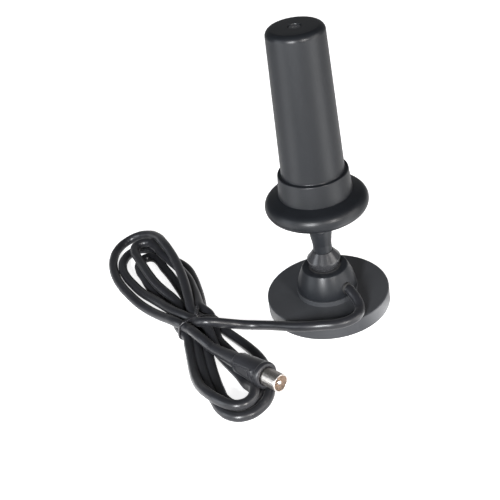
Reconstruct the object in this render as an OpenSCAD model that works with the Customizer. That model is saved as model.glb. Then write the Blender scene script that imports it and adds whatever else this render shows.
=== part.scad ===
// Stick antenna with an amplifier in its head, a ball joint and a weighted magnetic base.
// Millimetres, Z up. The origin is the centre of the base's underside.

/* [Base] */
// Diameter of the base disc
base_d = 69; // [62:0.5:84]
// Height of the base disc from the floor to its top face
base_h = 9.3; // [8.6:0.1:12]
// Side wall of the base housing
base_wall = 2; // [1.6:0.1:2.6]
// Top wall of the base housing
base_roof = 2; // [1.6:0.1:2.4]
// Rounding of the base's top edge
base_edge = 0.7; // [0.3:0.1:1]
// Thickness of the rubber foot pad
pad_t = 1.2; // [0.8:0.1:1.6]
// Thickness of the steel bottom plate
plate_t = 0.8; // [0.6:0.1:1]
// Outside diameter of the ring magnet
magnet_d = 44; // [36:1:46]
// Hole in the ring magnet
magnet_hole = 24; // [22:1:28]
// Thickness of the ring magnet
magnet_t = 2.9; // [2:0.1:2.9]

/* [Pedestal] */
// Diameter at the lower edge of the pedestal's wall
pedestal_d = 33.6; // [30:0.2:38]
// Diameter of the pedestal's top face
pedestal_top_d = 25.2; // [24.8:0.2:29]
// Height of the pedestal's top face above the floor
pedestal_top = 26.1; // [25:0.1:32]
// Wall of the pedestal
pedestal_wall = 2.2; // [1.8:0.1:2.6]
// Height of the ring on the base that the pedestal stands on
plinth_h = 2.7; // [2:0.1:3.2]
// Height of the shadow groove above the plinth
groove_h = 1.4; // [1:0.1:1.8]
// Height of the cable's exit above the floor
exit_z = 16.8; // [16:0.1:18]

/* [Ball joint] */
// Diameter of the ball
ball_d = 18; // [16:0.2:18.4]
// Wall of the hollow ball
ball_wall = 2; // [1.6:0.1:2.4]
// Height of the ball's centre above the pedestal's top face
ball_rise = 4.9; // [4.4:0.1:5.4]
// Diameter of the shoulder that covers the ball
shoulder_d = 18.6; // [18.4:0.2:20]
// Height of the shoulder
shoulder_h = 5; // [4.4:0.1:6]
// Largest lean of the head to each side, in degrees
lean_max = 25; // [10:1:25]
// Outside diameter of the draw stud's stem
stud_d = 5.2; // [4.4:0.2:5.4]
// Bore of the draw stud
stud_bore = 3; // [2.8:0.1:3.2]

/* [Head] */
// Diameter of the stem above the shoulder
stem_d = 10.5; // [10:0.1:12]
// Diameter of the stem where its bell starts
stem_wide_d = 12.6; // [12.2:0.1:14]
// Height of the bell's start above the floor
bell_z = 48.5; // [46:0.5:52]
// Diameter of the head's ring
ring_d = 56; // [50:0.5:64]
// Height of the ring's widest line above the floor
ring_z = 67.9; // [66:0.5:72]
// Rounding of the ring's rim, as a radius
ring_r = 5.1; // [4.6:0.1:5.6]
// Wall of the head's mouldings
head_wall = 1.8; // [1.4:0.1:2]
// Diameter of the collar where it meets the ring
collar_d = 39.8; // [38:0.2:42]
// Diameter of the collar at its top
collar_top_d = 37.8; // [37:0.2:40]
// Height of the collar's top face above the floor
collar_top = 87; // [84:0.5:94]

/* [Radome] */
// Diameter of the radome where it leaves the collar
radome_d = 33.8; // [31:0.2:34]
// Diameter of the radome near its top
radome_top_d = 30; // [26:0.2:30.4]
// Wall of the radome
radome_wall = 1.6; // [1.2:0.1:1.8]
// Overall height above the floor
total_h = 166.4; // [140:0.2:200]
// Rounding of the radome's top edge
radome_round = 3.4; // [2:0.1:4]
// Diameter of the round recess in the top face
top_recess_d = 7; // [5:0.2:9]

/* [Cable and plug] */
// Diameter of the cable
cable_d = 5.6; // [5:0.1:5.8]
// Diameter of the stripped core inside the stand
core_d = 2.4; // [2:0.1:2.6]
// Diameter of the plug's rubber body at its front
plug_d = 14.3; // [13:0.1:14.6]
// Length of the plug's rubber body
plug_l = 23; // [20:0.5:26]
// Length of the plug's tapered strain relief
relief_l = 20; // [20:0.5:24]
// Outside diameter of the plug's metal sleeve
sleeve_d = 9.5; // [9.4:0.01:9.6]
// Length of the sleeve in front of the rubber body
sleeve_l = 10.5; // [9:0.1:12]
// Diameter of the plug's centre pin
pin_d = 2.4; // [2.3:0.01:2.5]

/* [Fits] */
// Gap between parts that are fitted together
fit = 0.1; // [0.05:0.01:0.2]
// Gap between parts that move on each other
slide = 0.15; // [0.1:0.01:0.3]

/* [Hidden] */

$fn = 96;
eps = 0.01;
screw_fn = 24;

// Base, from the floor up
housing_z = 0.4;
cavity_z = pad_t + plate_t;
roof_z = base_h - base_roof;
pad_r = base_d / 2 - base_wall;
weight_t = roof_z - cavity_z - magnet_t - 0.2;
weight_z = roof_z - weight_t - 0.05;
plinth_r = pedestal_d / 2 + 0.3;
plinth_z = base_h + plinth_h;
plinth_wall = 3.5;
base_screw_at = base_d / 2 - base_wall - 4.8;
base_boss_r = 2.6;
screw_d = 2.2;
screw_head_d = 4.2;

// Pedestal
groove_z = plinth_z + groove_h;
dome_fullness = 1.5;
deck_z = 17.9 + pedestal_top - 26.1;
deck_t = 3;
seat_floor = deck_z + deck_t;
seat_r = 9;
seat_hole_r = 5.5;
deck_hole_r = 6.5;
pedestal_screw_at = 11.4;
pedestal_boss_r = 2.5;
exit_turn = -49;
jacket_end = 10.4;
core_drop = 9.2;
core_bend_r = core_drop / 2;
core_bend_z = 9.5;
core_gap = 1.2;
exit_wall_r = dome_r(exit_z);
gland_r = 3.95;
gland_proud = 0.6;
screw_turns = [11, 131, 251];

// Ball joint
ball_z = pedestal_top + ball_rise;
ball_r = ball_d / 2;
ball_inner_r = ball_r - ball_wall;
stud_head_r = ball_inner_r - slide;
stud_head_wall = 1.3;
cavity_top = 3;
stud_angle = asin(stud_d / 2 / ball_inner_r);
hole_angle = stud_angle + lean_max + 1;
shoulder_lip = 0.4;
shoulder_top_r = 5.6;
shoulder_top = ball_z + shoulder_lip + shoulder_h;
spigot_r = 3.6;
spigot_h = 6;
wire_r = 1.9;
washer_t = 0.9;
washer_z = deck_z - washer_t - slide;
spring_t = 0.45;
spring_rise = 0.4;
nut_t = 2;
nut_z = washer_z - 3 * (spring_t + spring_rise) - nut_t - 0.05;
stud_foot = nut_z - 0.6;
lug_w = 2.4;
lug_r = 8.2;

// Head
bell_r = ring_z - 5.2 - bell_z;
bell_axis_r = stem_wide_d / 2 + bell_r;
bell_rim_r = ring_d / 2 - 3.6;
bell_top = ring_z - 5.2;
collar_z = ring_z + 6.5;
collar_lip = 1.2;
board_z = ring_z + 1.2;
board_t = 1.6;
board_r = collar_d / 2 - 2.6;
head_screw_at = 22;
head_boss_r = 2.3;
flange_t = 2;
flange_r = 14.8;
seal_t = 0.5;
board_screw_at = 13.6;

// Radome
flare_r = 0.8;
socket_r = radome_d / 2 + flare_r;
radome_flange_r = collar_d / 2 - 1.4;
flange_top = collar_z + 2.4;
flange_bore_r = radome_d / 2 - radome_wall;
collar_round = 0.8;
roof_t = 2;
recess_deep = 1;
plug_hole_r = 1.6;

// Antenna board
ant_w = 21;
ant_t = 1.6;
ant_z = board_z + board_t;
ant_top = total_h - 12;
foil_t = 0.25;
foil_w = 17;
feed_at = (ant_z + ant_top) / 2 + 2;
can_at = 4;
can_l = 10;
can_w = 13;
can_h = 3.6;

// Plug: its front face, its direction on the floor and its upward tilt
plug_at = [-36, -73, 12.6];
plug_turn = -48;
plug_lift = 5;
plug_dir = [cos(plug_lift) * cos(plug_turn), cos(plug_lift) * sin(plug_turn), sin(plug_lift)];
sleeve_in = 8;
shank_r = sleeve_d / 2 - 0.2;
insulator_r = sleeve_d / 2 - 0.65;
insulator_proud = 2.5;
pin_tail_r = pin_d / 2 - 0.2;
relief_tip = plug_at - (plug_l + relief_l) * plug_dir;

// Route of the cable's lead, from the gland over the base's edge to the tie
cord_straight = 1.5;
exit_dir = [cos(exit_turn), sin(exit_turn), 0];
lead_start = (exit_wall_r + gland_proud) * exit_dir + [0, 0, exit_z];
lead_route = [[12.6, -15.2, 16.3], [14.8, -19.6, 14.6], [16, -25.4, 12.4], [14.2, -31.2, 12.3],
              [9.4, -35.2, 12.3], [3, -37, 12.3], [-5, -36.6, 12.3], [-12, -35.2, 11.6],
              [-19.2, -32.4, 10.2], [-26, -28, 8.2], [-34, -22.8, 5.8], [-42, -19.4, 4.6],
              [-48.6, -18.8, 5.4], [-54.6, -19.4, 7.4], [-59.8, -20.6, 9.8], [-64.6, -21.6, 12],
              [-68.8, -21.8, 13], [-72.6, -20.2, 12.2], [-75.4, -15.8, 10.6]];

// Hank: the waist that the tie holds, and the outlines of the two lobes
waist_at = [-77, -12];
waist_turn = -43;
waist_l = 9;
waist_w = 22;
waist_z = 1.3;
waist_h = 2 * cable_d;
tie_t = 1.1;
tie_w = 2.4;
upper_h = 14;
lower_h = 5.2;
upper_lobe = [[-81, -6, 9], [-80, 20, 7.5], [-105, 16, 8], [-106, 66, 20], [-114, 68, 21.5]];
lower_lobe = [[-73, -21, 8], [-50, -39, 8], [-46, -64, 12.5], [-49.5, -77, 15], [-66, -66, 9],
              [-74, -34, 8]];
tail_route = [[-79.6, -20.6, 9], [-76.2, -26, 10.2], [-71.6, -32.8, 10.4]];

// ---- Shared shapes ----

// Points on a circular arc
function arc(c, r, a0, a1, n = 12) =
    [for (i = [0 : n]) c + r * [cos(a0 + (a1 - a0) * i / n), sin(a0 + (a1 - a0) * i / n)]];

// Outside radius of the pedestal's wall at a height
function dome_r(z) =
    pedestal_d / 2 - (pedestal_d - pedestal_top_d) / 2
    * pow(max(0, (z - groove_z) / (pedestal_top - groove_z)), dome_fullness);

// Outside radius of the radome at a height
function radome_r(z) =
    (radome_d + (radome_top_d - radome_d) * (z - collar_top) / (total_h - collar_top)) / 2;

// One point of a smooth curve through p1 and p2
function blend(p0, p1, p2, p3, t) =
    ((2 * p1) + (p2 - p0) * t + (2 * p0 - 5 * p1 + 4 * p2 - p3) * t * t
     + (3 * p1 - p0 - 3 * p2 + p3) * t * t * t) / 2;

// A smooth curve through the points, with n steps between each two
function smooth(p, n) = let (m = len(p) - 1) concat(
    [for (i = [0 : m - 1], k = [0 : n - 1])
        blend(p[max(0, i - 1)], p[i], p[i + 1], p[min(m, i + 2)], k / n)],
    [p[m]]);

function unit(v) = v / norm(v);

// Direction of a line of points at point i
function heading(p, i) = unit(p[min(len(p) - 1, i + 1)] - p[max(0, i - 1)]);

// Round tube along points that never run along the vector side_of
module tube(p, d, sides = 10, side_of = [0, 0, 1]) {
    rings = [for (i = [0 : len(p) - 1])
        let (t = heading(p, i), u = unit(cross(t, side_of)), v = cross(t, u))
        for (k = [0 : sides - 1])
            p[i] + d / 2 * (u * cos(360 * k / sides) + v * sin(360 * k / sides))];
    walls = [for (i = [0 : len(p) - 2], k = [0 : sides - 1])
        let (a = i * sides + k, b = i * sides + (k + 1) % sides)
        [a, a + sides, b + sides, b]];
    last = (len(p) - 1) * sides;
    caps = [[for (k = [0 : sides - 1]) k], [for (k = [sides - 1 : -1 : 0]) last + k]];
    polyhedron(points = rings, faces = concat(walls, caps), convexity = 8);
}

// Pan-head screw with its head's underside at z = 0 and its shank upward
module screw(shank_d, head_d, head_t, length) {
    translate([0, 0, -head_t]) difference() {
        cylinder(d = head_d, h = head_t, $fn = screw_fn);
        for (a = [0, 90]) rotate(a) translate([-head_d * 0.28, -0.25, -eps])
            cube([head_d * 0.56, 0.5, head_t * 0.5]);
    }
    translate([0, 0, -eps]) cylinder(d = shank_d, h = length + eps, $fn = screw_fn);
}

// Children moved to the four base screws
module at_base_screws() {
    for (a = [45 : 90 : 315]) rotate(a) translate([base_screw_at, 0, 0]) children();
}

// Children moved to the pedestal's three screws
module at_pedestal_screws() {
    for (a = screw_turns) rotate(a) translate([pedestal_screw_at, 0, 0]) children();
}

// Children moved to the cable's exit, with X pointing outward
module at_exit() {
    rotate(exit_turn) children();
}

// Children in the plug's own frame, with Z pointing out of its front
module at_plug() {
    translate(plug_at) rotate([0, 0, plug_turn]) rotate([0, 90 - plug_lift, 0]) children();
}

// ---- Base ----

module base_housing() {
    r = base_d / 2;
    color([0.13, 0.13, 0.14]) difference() {
        rotate_extrude() polygon(concat(
            [[0, housing_z], [r - 0.2, housing_z], [r, housing_z + 0.2]],
            arc([r - base_edge, base_h - base_edge], base_edge, 0, 90, 6),
            [[plinth_r, base_h], [plinth_r, plinth_z - 0.2], [plinth_r - 0.2, plinth_z],
             [0, plinth_z]]));
        difference() {
            translate([0, 0, -eps]) cylinder(r = pad_r, h = roof_z + eps);
            at_base_screws() translate([0, 0, cavity_z]) cylinder(r = base_boss_r, h = 20);
        }
        at_base_screws() translate([0, 0, -eps]) cylinder(d = screw_d + fit, h = 6.6, $fn = screw_fn);
        translate([0, 0, roof_z - eps]) cylinder(r = 6.6, h = 10);
        at_exit() translate([0, -2.6, roof_z - eps]) cube([11.4, 5.2, 10]);
        translate([0, 0, base_h]) difference() {
            cylinder(r = plinth_r - plinth_wall, h = 10);
            translate([0, 0, -1]) at_pedestal_screws()
                cylinder(r = pedestal_boss_r, h = plinth_h + 1);
        }
        at_pedestal_screws() translate([0, 0, roof_z - eps])
            cylinder(d = screw_d + 2 * fit, h = 10, $fn = screw_fn);
    }
}

module bottom_plate() {
    color([0.62, 0.63, 0.65]) translate([0, 0, pad_t]) difference() {
        cylinder(r = pad_r - fit, h = plate_t - eps);
        at_base_screws() translate([0, 0, -eps])
            cylinder(d = screw_d + 2 * fit, h = plate_t + 1, $fn = screw_fn);
    }
}

module foot_pad() {
    color([0.07, 0.07, 0.07]) difference() {
        cylinder(r = pad_r - fit, h = pad_t);
        at_base_screws() translate([0, 0, -eps])
            cylinder(d = screw_head_d + 4 * fit, h = pad_t + 1, $fn = screw_fn);
    }
}

module ring_magnet() {
    color([0.25, 0.25, 0.27]) translate([0, 0, cavity_z + 0.05]) difference() {
        cylinder(d = magnet_d, h = magnet_t);
        translate([0, 0, -eps]) cylinder(d = magnet_hole, h = magnet_t + 1);
    }
}

module weight_plate() {
    color([0.5, 0.5, 0.52]) translate([0, 0, weight_z]) difference() {
        cylinder(r = pad_r - 0.8, h = weight_t);
        translate([0, 0, -eps]) cylinder(r = pedestal_screw_at + screw_head_d / 2 + 1,
                                         h = weight_t + 1);
        at_base_screws() translate([0, 0, -eps])
            cylinder(r = base_boss_r + 0.4, h = weight_t + 1, $fn = 48);
    }
}

module base_screws() {
    color([0.7, 0.7, 0.72]) at_base_screws()
        translate([0, 0, pad_t]) screw(screw_d, screw_head_d, 0.8, 4.8);
}

// ---- Pedestal ----

module pedestal() {
    n = 12;
    outside = [for (i = [0 : n]) let (z = groove_z + (pedestal_top - 0.4 - groove_z) * i / n)
        [dome_r(z), z]];
    inside = [for (i = [0 : 4]) let (z = groove_z + (deck_z - groove_z) * i / 4)
        [dome_r(z) - pedestal_wall, z]];
    foot = plinth_z + eps;
    color([0.2, 0.2, 0.22]) difference() {
        union() {
            difference() {
                rotate_extrude() polygon(concat(
                    [[0, foot], [pedestal_d / 2 - 0.6, foot], [pedestal_d / 2 - 0.6, groove_z - 0.3]],
                    outside,
                    [[pedestal_top_d / 2 - 0.35, pedestal_top], [0, pedestal_top]]));
                rotate_extrude() polygon(concat(
                    [[0, foot - 1], [pedestal_d / 2 - pedestal_wall - 0.4, foot - 1],
                     [pedestal_d / 2 - pedestal_wall - 0.4, groove_z - 0.3]],
                    inside, [[0, deck_z]]));
            }
            at_pedestal_screws() translate([0, 0, foot])
                cylinder(r = pedestal_boss_r, h = deck_z - foot + 0.5);
            at_exit() translate([-lug_r - 1.6, -lug_w / 2, washer_z - 1])
                cube([3.2, lug_w, deck_z - washer_z + 1.2]);
        }
        translate([0, 0, seat_floor]) cylinder(r = seat_r + slide, h = 20);
        translate([0, 0, deck_z - 1]) cylinder(r = deck_hole_r, h = 20);
        at_pedestal_screws() translate([0, 0, foot - 1])
            cylinder(d = screw_d + fit, h = 6, $fn = screw_fn);
        at_exit() translate([jacket_end - 0.6, 0, exit_z]) rotate([0, 90, 0])
            cylinder(r = gland_r - 0.6, h = 20, $fn = 48);
    }
}

module pedestal_screws() {
    color([0.7, 0.7, 0.72]) at_pedestal_screws()
        translate([0, 0, roof_z]) screw(screw_d, screw_head_d, 1.4, plinth_z - roof_z + 4.4);
}

module cable_gland() {
    barrel_r = gland_r - 0.6 - fit;
    bore_r = cable_d / 2 + 0.02;
    face = exit_wall_r + gland_proud;
    color([0.08, 0.08, 0.08]) at_exit() translate([0, 0, exit_z]) rotate([0, 90, 0])
        rotate_extrude($fn = 48) polygon([
            [bore_r, jacket_end + 2.2], [barrel_r, jacket_end + 2.2],
            [barrel_r, face - 0.3], [barrel_r - 0.3, face], [bore_r, face]]);
}

// Crimped ring that stops the cable from pulling out through the gland
module crimp_ring() {
    color([0.75, 0.74, 0.7]) at_exit() translate([jacket_end + 0.4, 0, exit_z]) rotate([0, 90, 0])
        difference() {
            cylinder(r = gland_r - 0.6 - 2 * fit, h = 1.7, $fn = 48);
            translate([0, 0, -1]) cylinder(d = cable_d + 0.04, h = 4, $fn = 48);
        }
}

// The cable inside the stand: its jacket through the gland, then its core to the ball's centre
module inner_lead() {
    face = exit_wall_r + gland_proud;
    drop = [for (a = [90 : 22.5 : 180])
        [core_drop + core_d * (1 + cos(a)), 0, exit_z - core_d * (1 - sin(a))]];
    bend = [for (a = [0 : 30 : 180])
        [core_bend_r * (1 + cos(a)), 0, core_bend_z - core_bend_r * sin(a)]];
    color([0.16, 0.16, 0.16]) at_exit() union() {
        translate([jacket_end, 0, exit_z]) rotate([0, 90, 0])
            cylinder(d = cable_d, h = face - jacket_end, $fn = 48);
        tube(concat(drop, bend, [[0, 0, core_bend_z + 2], [0, 0, ball_z - core_gap]]),
             core_d, 10, [0, 1, 0]);
    }
}

// ---- Ball joint ----

// Nylon cup that the ball sits in; it turns in the pedestal with the head
module ball_seat() {
    seat_ball_r = ball_r + slide;
    top = -ball_rise - 0.1;
    color([0.1, 0.1, 0.1]) translate([0, 0, ball_z]) rotate_extrude() polygon(concat(
        [[seat_hole_r, seat_floor - ball_z + 0.05], [seat_r, seat_floor - ball_z + 0.05],
         [seat_r, top - 0.2], [seat_r - 0.2, top]],
        arc([0, 0], seat_ball_r, asin(top / seat_ball_r), -acos(seat_hole_r / seat_ball_r), 8)));
}

// Hollow stud whose round head pulls the ball down from inside
module draw_stud() {
    inner_r = stud_head_r - stud_head_wall;
    rim = hole_angle + lean_max + 3 - 90;
    color([0.6, 0.6, 0.62]) translate([0, 0, ball_z]) rotate_extrude() polygon(concat(
        [[stud_bore / 2, stud_foot - ball_z], [stud_d / 2, stud_foot - ball_z]],
        arc([0, 0], stud_head_r, -acos(stud_d / 2 / stud_head_r), rim, 12),
        arc([0, 0], inner_r, rim, -acos(stud_bore / 2 / inner_r), 12)));
}

// Washer with the lug that meets the pedestal's rib at the end of the turn
module stop_washer() {
    color([0.66, 0.66, 0.68]) translate([0, 0, washer_z]) rotate(exit_turn) difference() {
        union() {
            cylinder(r = 6, h = washer_t);
            translate([4, -lug_w / 2, 0]) cube([lug_r - 4, lug_w, washer_t]);
        }
        translate([0, 0, -1]) cylinder(d = stud_d + 0.04, h = 4);
    }
}

// Three cone springs, stacked turn and turn about
module disc_springs() {
    bore_r = stud_d / 2 + fit;
    rim_r = 5.4;
    pitch = spring_t + spring_rise;
    color([0.55, 0.55, 0.58]) for (i = [0 : 2]) {
        low = nut_z + nut_t + 0.03 + i * pitch;
        lift = (i % 2 == 0) ? [0, spring_rise - 0.03] : [spring_rise - 0.03, 0];
        rotate_extrude() polygon([
            [bore_r, low + lift[0]], [rim_r, low + lift[1]],
            [rim_r, low + lift[1] + spring_t - 0.03], [bore_r, low + lift[0] + spring_t - 0.03]]);
    }
}

module draw_nut() {
    color([0.72, 0.7, 0.6]) translate([0, 0, nut_z]) difference() {
        cylinder(r = 4.6, h = nut_t, $fn = 6);
        translate([0, 0, -1]) cylinder(d = stud_d + 0.04, h = nut_t + 2);
    }
}

// Ball, shoulder and threaded spigot in one casting
module ball_shell() {
    low = hole_angle - 90;
    color([0.42, 0.43, 0.45]) translate([0, 0, ball_z]) rotate_extrude() polygon(concat(
        arc([0, 0], ball_r, low, asin(shoulder_lip / ball_r), 16),
        [[shoulder_d / 2, shoulder_lip], [shoulder_d / 2, shoulder_lip + 0.25],
         [shoulder_top_r, shoulder_lip + shoulder_h], [spigot_r, shoulder_lip + shoulder_h],
         [spigot_r, shoulder_lip + shoulder_h + spigot_h], [wire_r, shoulder_lip + shoulder_h + spigot_h],
         [wire_r, cavity_top]],
        arc([0, 0], ball_inner_r, asin(cavity_top / ball_inner_r), low, 16)));
}

// ---- Head ----

// Stem that screws on the ball's spigot and opens into the head's underside
module stem_bell() {
    foot = shoulder_top + 0.05;
    socket_top = shoulder_top + spigot_h + 0.3;
    centre = [bell_axis_r, bell_z];
    color([0.2, 0.2, 0.22]) difference() {
        union() {
            rotate_extrude() polygon(concat(
                [[spigot_r + fit, foot], [stem_d / 2, foot], [stem_d / 2, foot + 4.6]],
                arc(centre, bell_r, 180, 90, 16),
                [[bell_rim_r, bell_top], [bell_rim_r, bell_top + head_wall],
                 [bell_axis_r, bell_top + head_wall]],
                arc(centre, bell_r + head_wall, 92, 180, 16),
                [[wire_r + 0.3, bell_z - 2.6], [wire_r + 0.3, socket_top],
                 [spigot_r + fit, socket_top]]));
            for (a = [60, 180, 300]) rotate(a) translate([board_screw_at, 0, bell_top - 1.2])
                cylinder(r = head_boss_r, h = board_z - bell_top + 1.2, $fn = 48);
        }
        for (a = [60, 180, 300]) rotate(a) translate([board_screw_at, 0, board_z - 4.6])
            cylinder(d = screw_d - 0.4 + fit, h = 10, $fn = screw_fn);
        for (a = [0 : 90 : 270]) rotate(a) translate([head_screw_at, 0, bell_top - 1])
            cylinder(d = screw_d + 2 * fit, h = 5, $fn = screw_fn);
    }
}

// Upper moulding of the head: the thick rounded ring around the collar
module head_ring() {
    centre = [ring_d / 2 - ring_r, ring_z];
    inner_r = ring_r - head_wall;
    lip = bell_rim_r + fit - centre[0];
    low = -acos(lip / ring_r);
    color([0.17, 0.17, 0.19]) difference() {
        union() {
            rotate_extrude() polygon(concat(
                arc(centre, ring_r, low, 70, 20),
                [[collar_d / 2, collar_z], [flange_r, collar_z], [flange_r, collar_z - flange_t]],
                arc(centre, inner_r, 80, -acos(lip / inner_r), 16)));
            intersection() {
                for (a = [0 : 90 : 270]) rotate(a)
                    translate([head_screw_at, 0, bell_top + head_wall + 0.05])
                    cylinder(r = head_boss_r, h = 20, $fn = 48);
                rotate_extrude() polygon(concat(
                    [[0, ring_z - ring_r]], arc(centre, ring_r - 0.5, -90, 70, 16),
                    [[collar_d / 2, collar_z - 0.5], [0, collar_z - 0.5]]));
            }
        }
        for (a = [0 : 90 : 270]) rotate(a) translate([head_screw_at, 0, bell_top])
            cylinder(d = screw_d + fit, h = 6, $fn = screw_fn);
    }
}

module collar() {
    color([0.2, 0.2, 0.22]) rotate_extrude() polygon(concat(
        [[radome_flange_r + fit, collar_z], [collar_d / 2, collar_z],
         [collar_top_d / 2, collar_top - collar_round]],
        arc([collar_top_d / 2 - collar_round, collar_top - collar_round], collar_round, 5, 90, 5),
        [[socket_r, collar_top], [socket_r, flange_top + fit], [radome_flange_r + fit, flange_top + fit]]));
}

// Tall plastic cover over the antenna, closed at the top
module radome() {
    foot = collar_z + seal_t + 0.05;
    top_r = radome_r(total_h);
    edge = [top_r - radome_round, total_h - radome_round];
    inner_top = total_h - roof_t;
    color([0.22, 0.22, 0.24]) rotate_extrude() polygon(concat(
        [[flange_bore_r, foot], [radome_flange_r, foot], [radome_flange_r, flange_top],
         [socket_r - fit, flange_top], [socket_r - fit, collar_top - 0.1]],
        arc([radome_r(collar_top) + flare_r, collar_top + flare_r - 0.1], flare_r, 250, 180, 5),
        arc(edge, radome_round, 0, 90, 8),
        [[top_recess_d / 2, total_h], [top_recess_d / 2 - 0.2, total_h - recess_deep],
         [plug_hole_r, total_h - recess_deep], [plug_hole_r, inner_top],
         [top_r - radome_round, inner_top], [top_r - radome_wall - 0.4, inner_top - 2],
         [flange_bore_r, collar_top]]));
}

module radome_seal() {
    color([0.05, 0.05, 0.05]) translate([0, 0, collar_z]) difference() {
        cylinder(r = radome_flange_r - 0.2, h = seal_t);
        translate([0, 0, -1]) cylinder(r = flange_bore_r + 0.2, h = 4);
    }
}

// Small cap in the recess of the radome's top face
module top_plug() {
    color([0.12, 0.12, 0.13]) translate([0, 0, total_h - recess_deep]) difference() {
        union() {
            translate([0, 0, 0.02]) cylinder(r = top_recess_d / 2 - 0.5, h = 0.5);
            translate([0, 0, -roof_t]) cylinder(r = plug_hole_r - 0.05, h = roof_t + 0.1, $fn = 32);
        }
        for (x = [-0.8, 0.8]) translate([x, 0, 0.2]) cylinder(r = 0.3, h = 1, $fn = 16);
    }
}

module head_screws() {
    color([0.3, 0.3, 0.32]) for (a = [0 : 90 : 270]) rotate(a)
        translate([head_screw_at, 0, bell_top]) screw(screw_d, screw_head_d - 0.4, 1.3, 5.6);
}

// ---- Electronics in the head ----

module amplifier_board() {
    color([0.08, 0.3, 0.16]) translate([0, 0, board_z]) difference() {
        cylinder(r = board_r, h = board_t);
        for (a = [60, 180, 300]) rotate(a) translate([board_screw_at, 0, -1])
            cylinder(d = screw_d, h = 4, $fn = screw_fn);
    }
}

module board_screws() {
    color([0.7, 0.7, 0.72]) for (a = [60, 180, 300]) rotate(a)
        translate([board_screw_at, 0, board_z + board_t]) rotate([180, 0, 0])
            screw(screw_d - 0.4, 3.6, 1.2, board_t + 4.2);
}

// Tinned cover over the amplifier's input stage, under the board
module shield_can() {
    color([0.75, 0.76, 0.77]) translate([can_at, -can_w / 2, board_z - can_h]) difference() {
        cube([can_l, can_w, can_h]);
        translate([0.3, 0.3, 0.3]) cube([can_l - 0.6, can_w - 0.6, can_h]);
    }
}

// The board's larger parts: two chips, two capacitors and a choke
module amplifier_parts() {
    z = board_z + board_t;
    color([0.09, 0.09, 0.1]) for (x = [-7, 1.5]) translate([x, 4.5, z]) cube([5, 4, 1.4]);
    color([0.3, 0.26, 0.2]) for (x = [-5, 5]) translate([x, -7, z]) cylinder(d = 4, h = 4.4, $fn = 32);
    color([0.2, 0.2, 0.22]) translate([0, -11, z]) difference() {
        cylinder(d = 5, h = 2.4, $fn = 32);
        translate([0, 0, -1]) cylinder(d = 2.2, h = 5, $fn = 24);
    }
}

// Upright board that carries the two halves of the dipole
module antenna_board() {
    color([0.1, 0.33, 0.18]) translate([-ant_w / 2, -ant_t / 2, ant_z]) difference() {
        cube([ant_w, ant_t, ant_top - ant_z]);
        for (x = [ant_w / 2 - 6, ant_w / 2 + 6]) translate([x, -1, 6]) rotate([-90, 0, 0])
            cylinder(d = 2, h = 4, $fn = screw_fn);
    }
}

// One half of the dipole: a strip of copper that narrows to its feed
module radiator(feed_z, end_z) {
    color([0.72, 0.43, 0.2]) translate([0, -ant_t / 2, 0]) rotate([90, 0, 0])
        linear_extrude(foil_t) polygon([
            [-1.5, feed_z], [1.5, feed_z], [foil_w / 2, feed_z + (end_z - feed_z) * 0.3],
            [foil_w / 2, end_z], [-foil_w / 2, end_z],
            [-foil_w / 2, feed_z + (end_z - feed_z) * 0.3]]);
}

module upper_radiator() {
    radiator(feed_at + 1, ant_top - 3);
}

module lower_radiator() {
    radiator(feed_at - 1, 2 * feed_at - ant_top + 3);
}

// Two-hole ferrite core behind the dipole's feed
module balun_core() {
    color([0.24, 0.24, 0.25]) translate([-3.5, ant_t / 2, feed_at - 3]) difference() {
        cube([7, 4.2, 6]);
        for (x = [2, 5]) translate([x, 2.1, -1]) cylinder(d = 1.4, h = 8, $fn = screw_fn);
    }
}

// The cable's core from the ball's centre up to the board
module head_lead() {
    color([0.16, 0.16, 0.16]) translate([0, 0, ball_z + core_gap])
        cylinder(d = core_d, h = board_z - ball_z - core_gap - 0.05, $fn = 32);
}

module lead_ferrule() {
    color([0.75, 0.7, 0.5]) translate([0, 0, board_z - 3.05]) difference() {
        cylinder(r = core_d / 2 + 0.6, h = 3, $fn = 32);
        translate([0, 0, -1]) cylinder(d = core_d + 0.04, h = 6, $fn = 32);
    }
}

// ---- Cable ----

module cord_lead() {
    route = concat([lead_start + cord_straight * exit_dir], lead_route);
    color([0.09, 0.09, 0.1]) tube(concat([lead_start], smooth(route, 2)), cable_d);
}

// Flat outline around circles given as [x, y, radius], cut off at one end of the waist
module lobe(circles, height, side) {
    linear_extrude(height) difference() {
        hull() for (c = circles) translate([c[0], c[1]]) circle(r = c[2], $fn = 32);
        translate(waist_at) rotate(waist_turn)
            translate([side > 0 ? waist_l / 2 - 80 : -waist_l / 2, -60]) square([80, 120]);
    }
}

module cord_hank_upper() {
    color([0.09, 0.09, 0.1]) lobe(upper_lobe, upper_h, -1);
}

module cord_hank_lower() {
    color([0.09, 0.09, 0.1]) lobe(lower_lobe, lower_h, 1);
}

// Outline of the bundle in the tie, grown by a margin, as a prism along the waist
module bundle(margin, length) {
    round_r = 5;
    w = waist_w / 2 - round_r;
    h = waist_h / 2 - round_r;
    translate([waist_at[0], waist_at[1], waist_z + waist_h / 2]) rotate([0, 0, waist_turn])
        rotate([90, 0, 90]) translate([0, 0, -length / 2]) linear_extrude(length)
            hull() for (x = [-w, w], y = [-h, h]) translate([x, y])
                circle(r = round_r + margin, $fn = 32);
}

module cord_hank_waist() {
    color([0.09, 0.09, 0.1]) bundle(0, waist_l);
}

module cord_tail() {
    route = concat(tail_route, [relief_tip - cord_straight * plug_dir]);
    color([0.09, 0.09, 0.1]) tube(concat(smooth(route, 2), [relief_tip]), cable_d);
}

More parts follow.
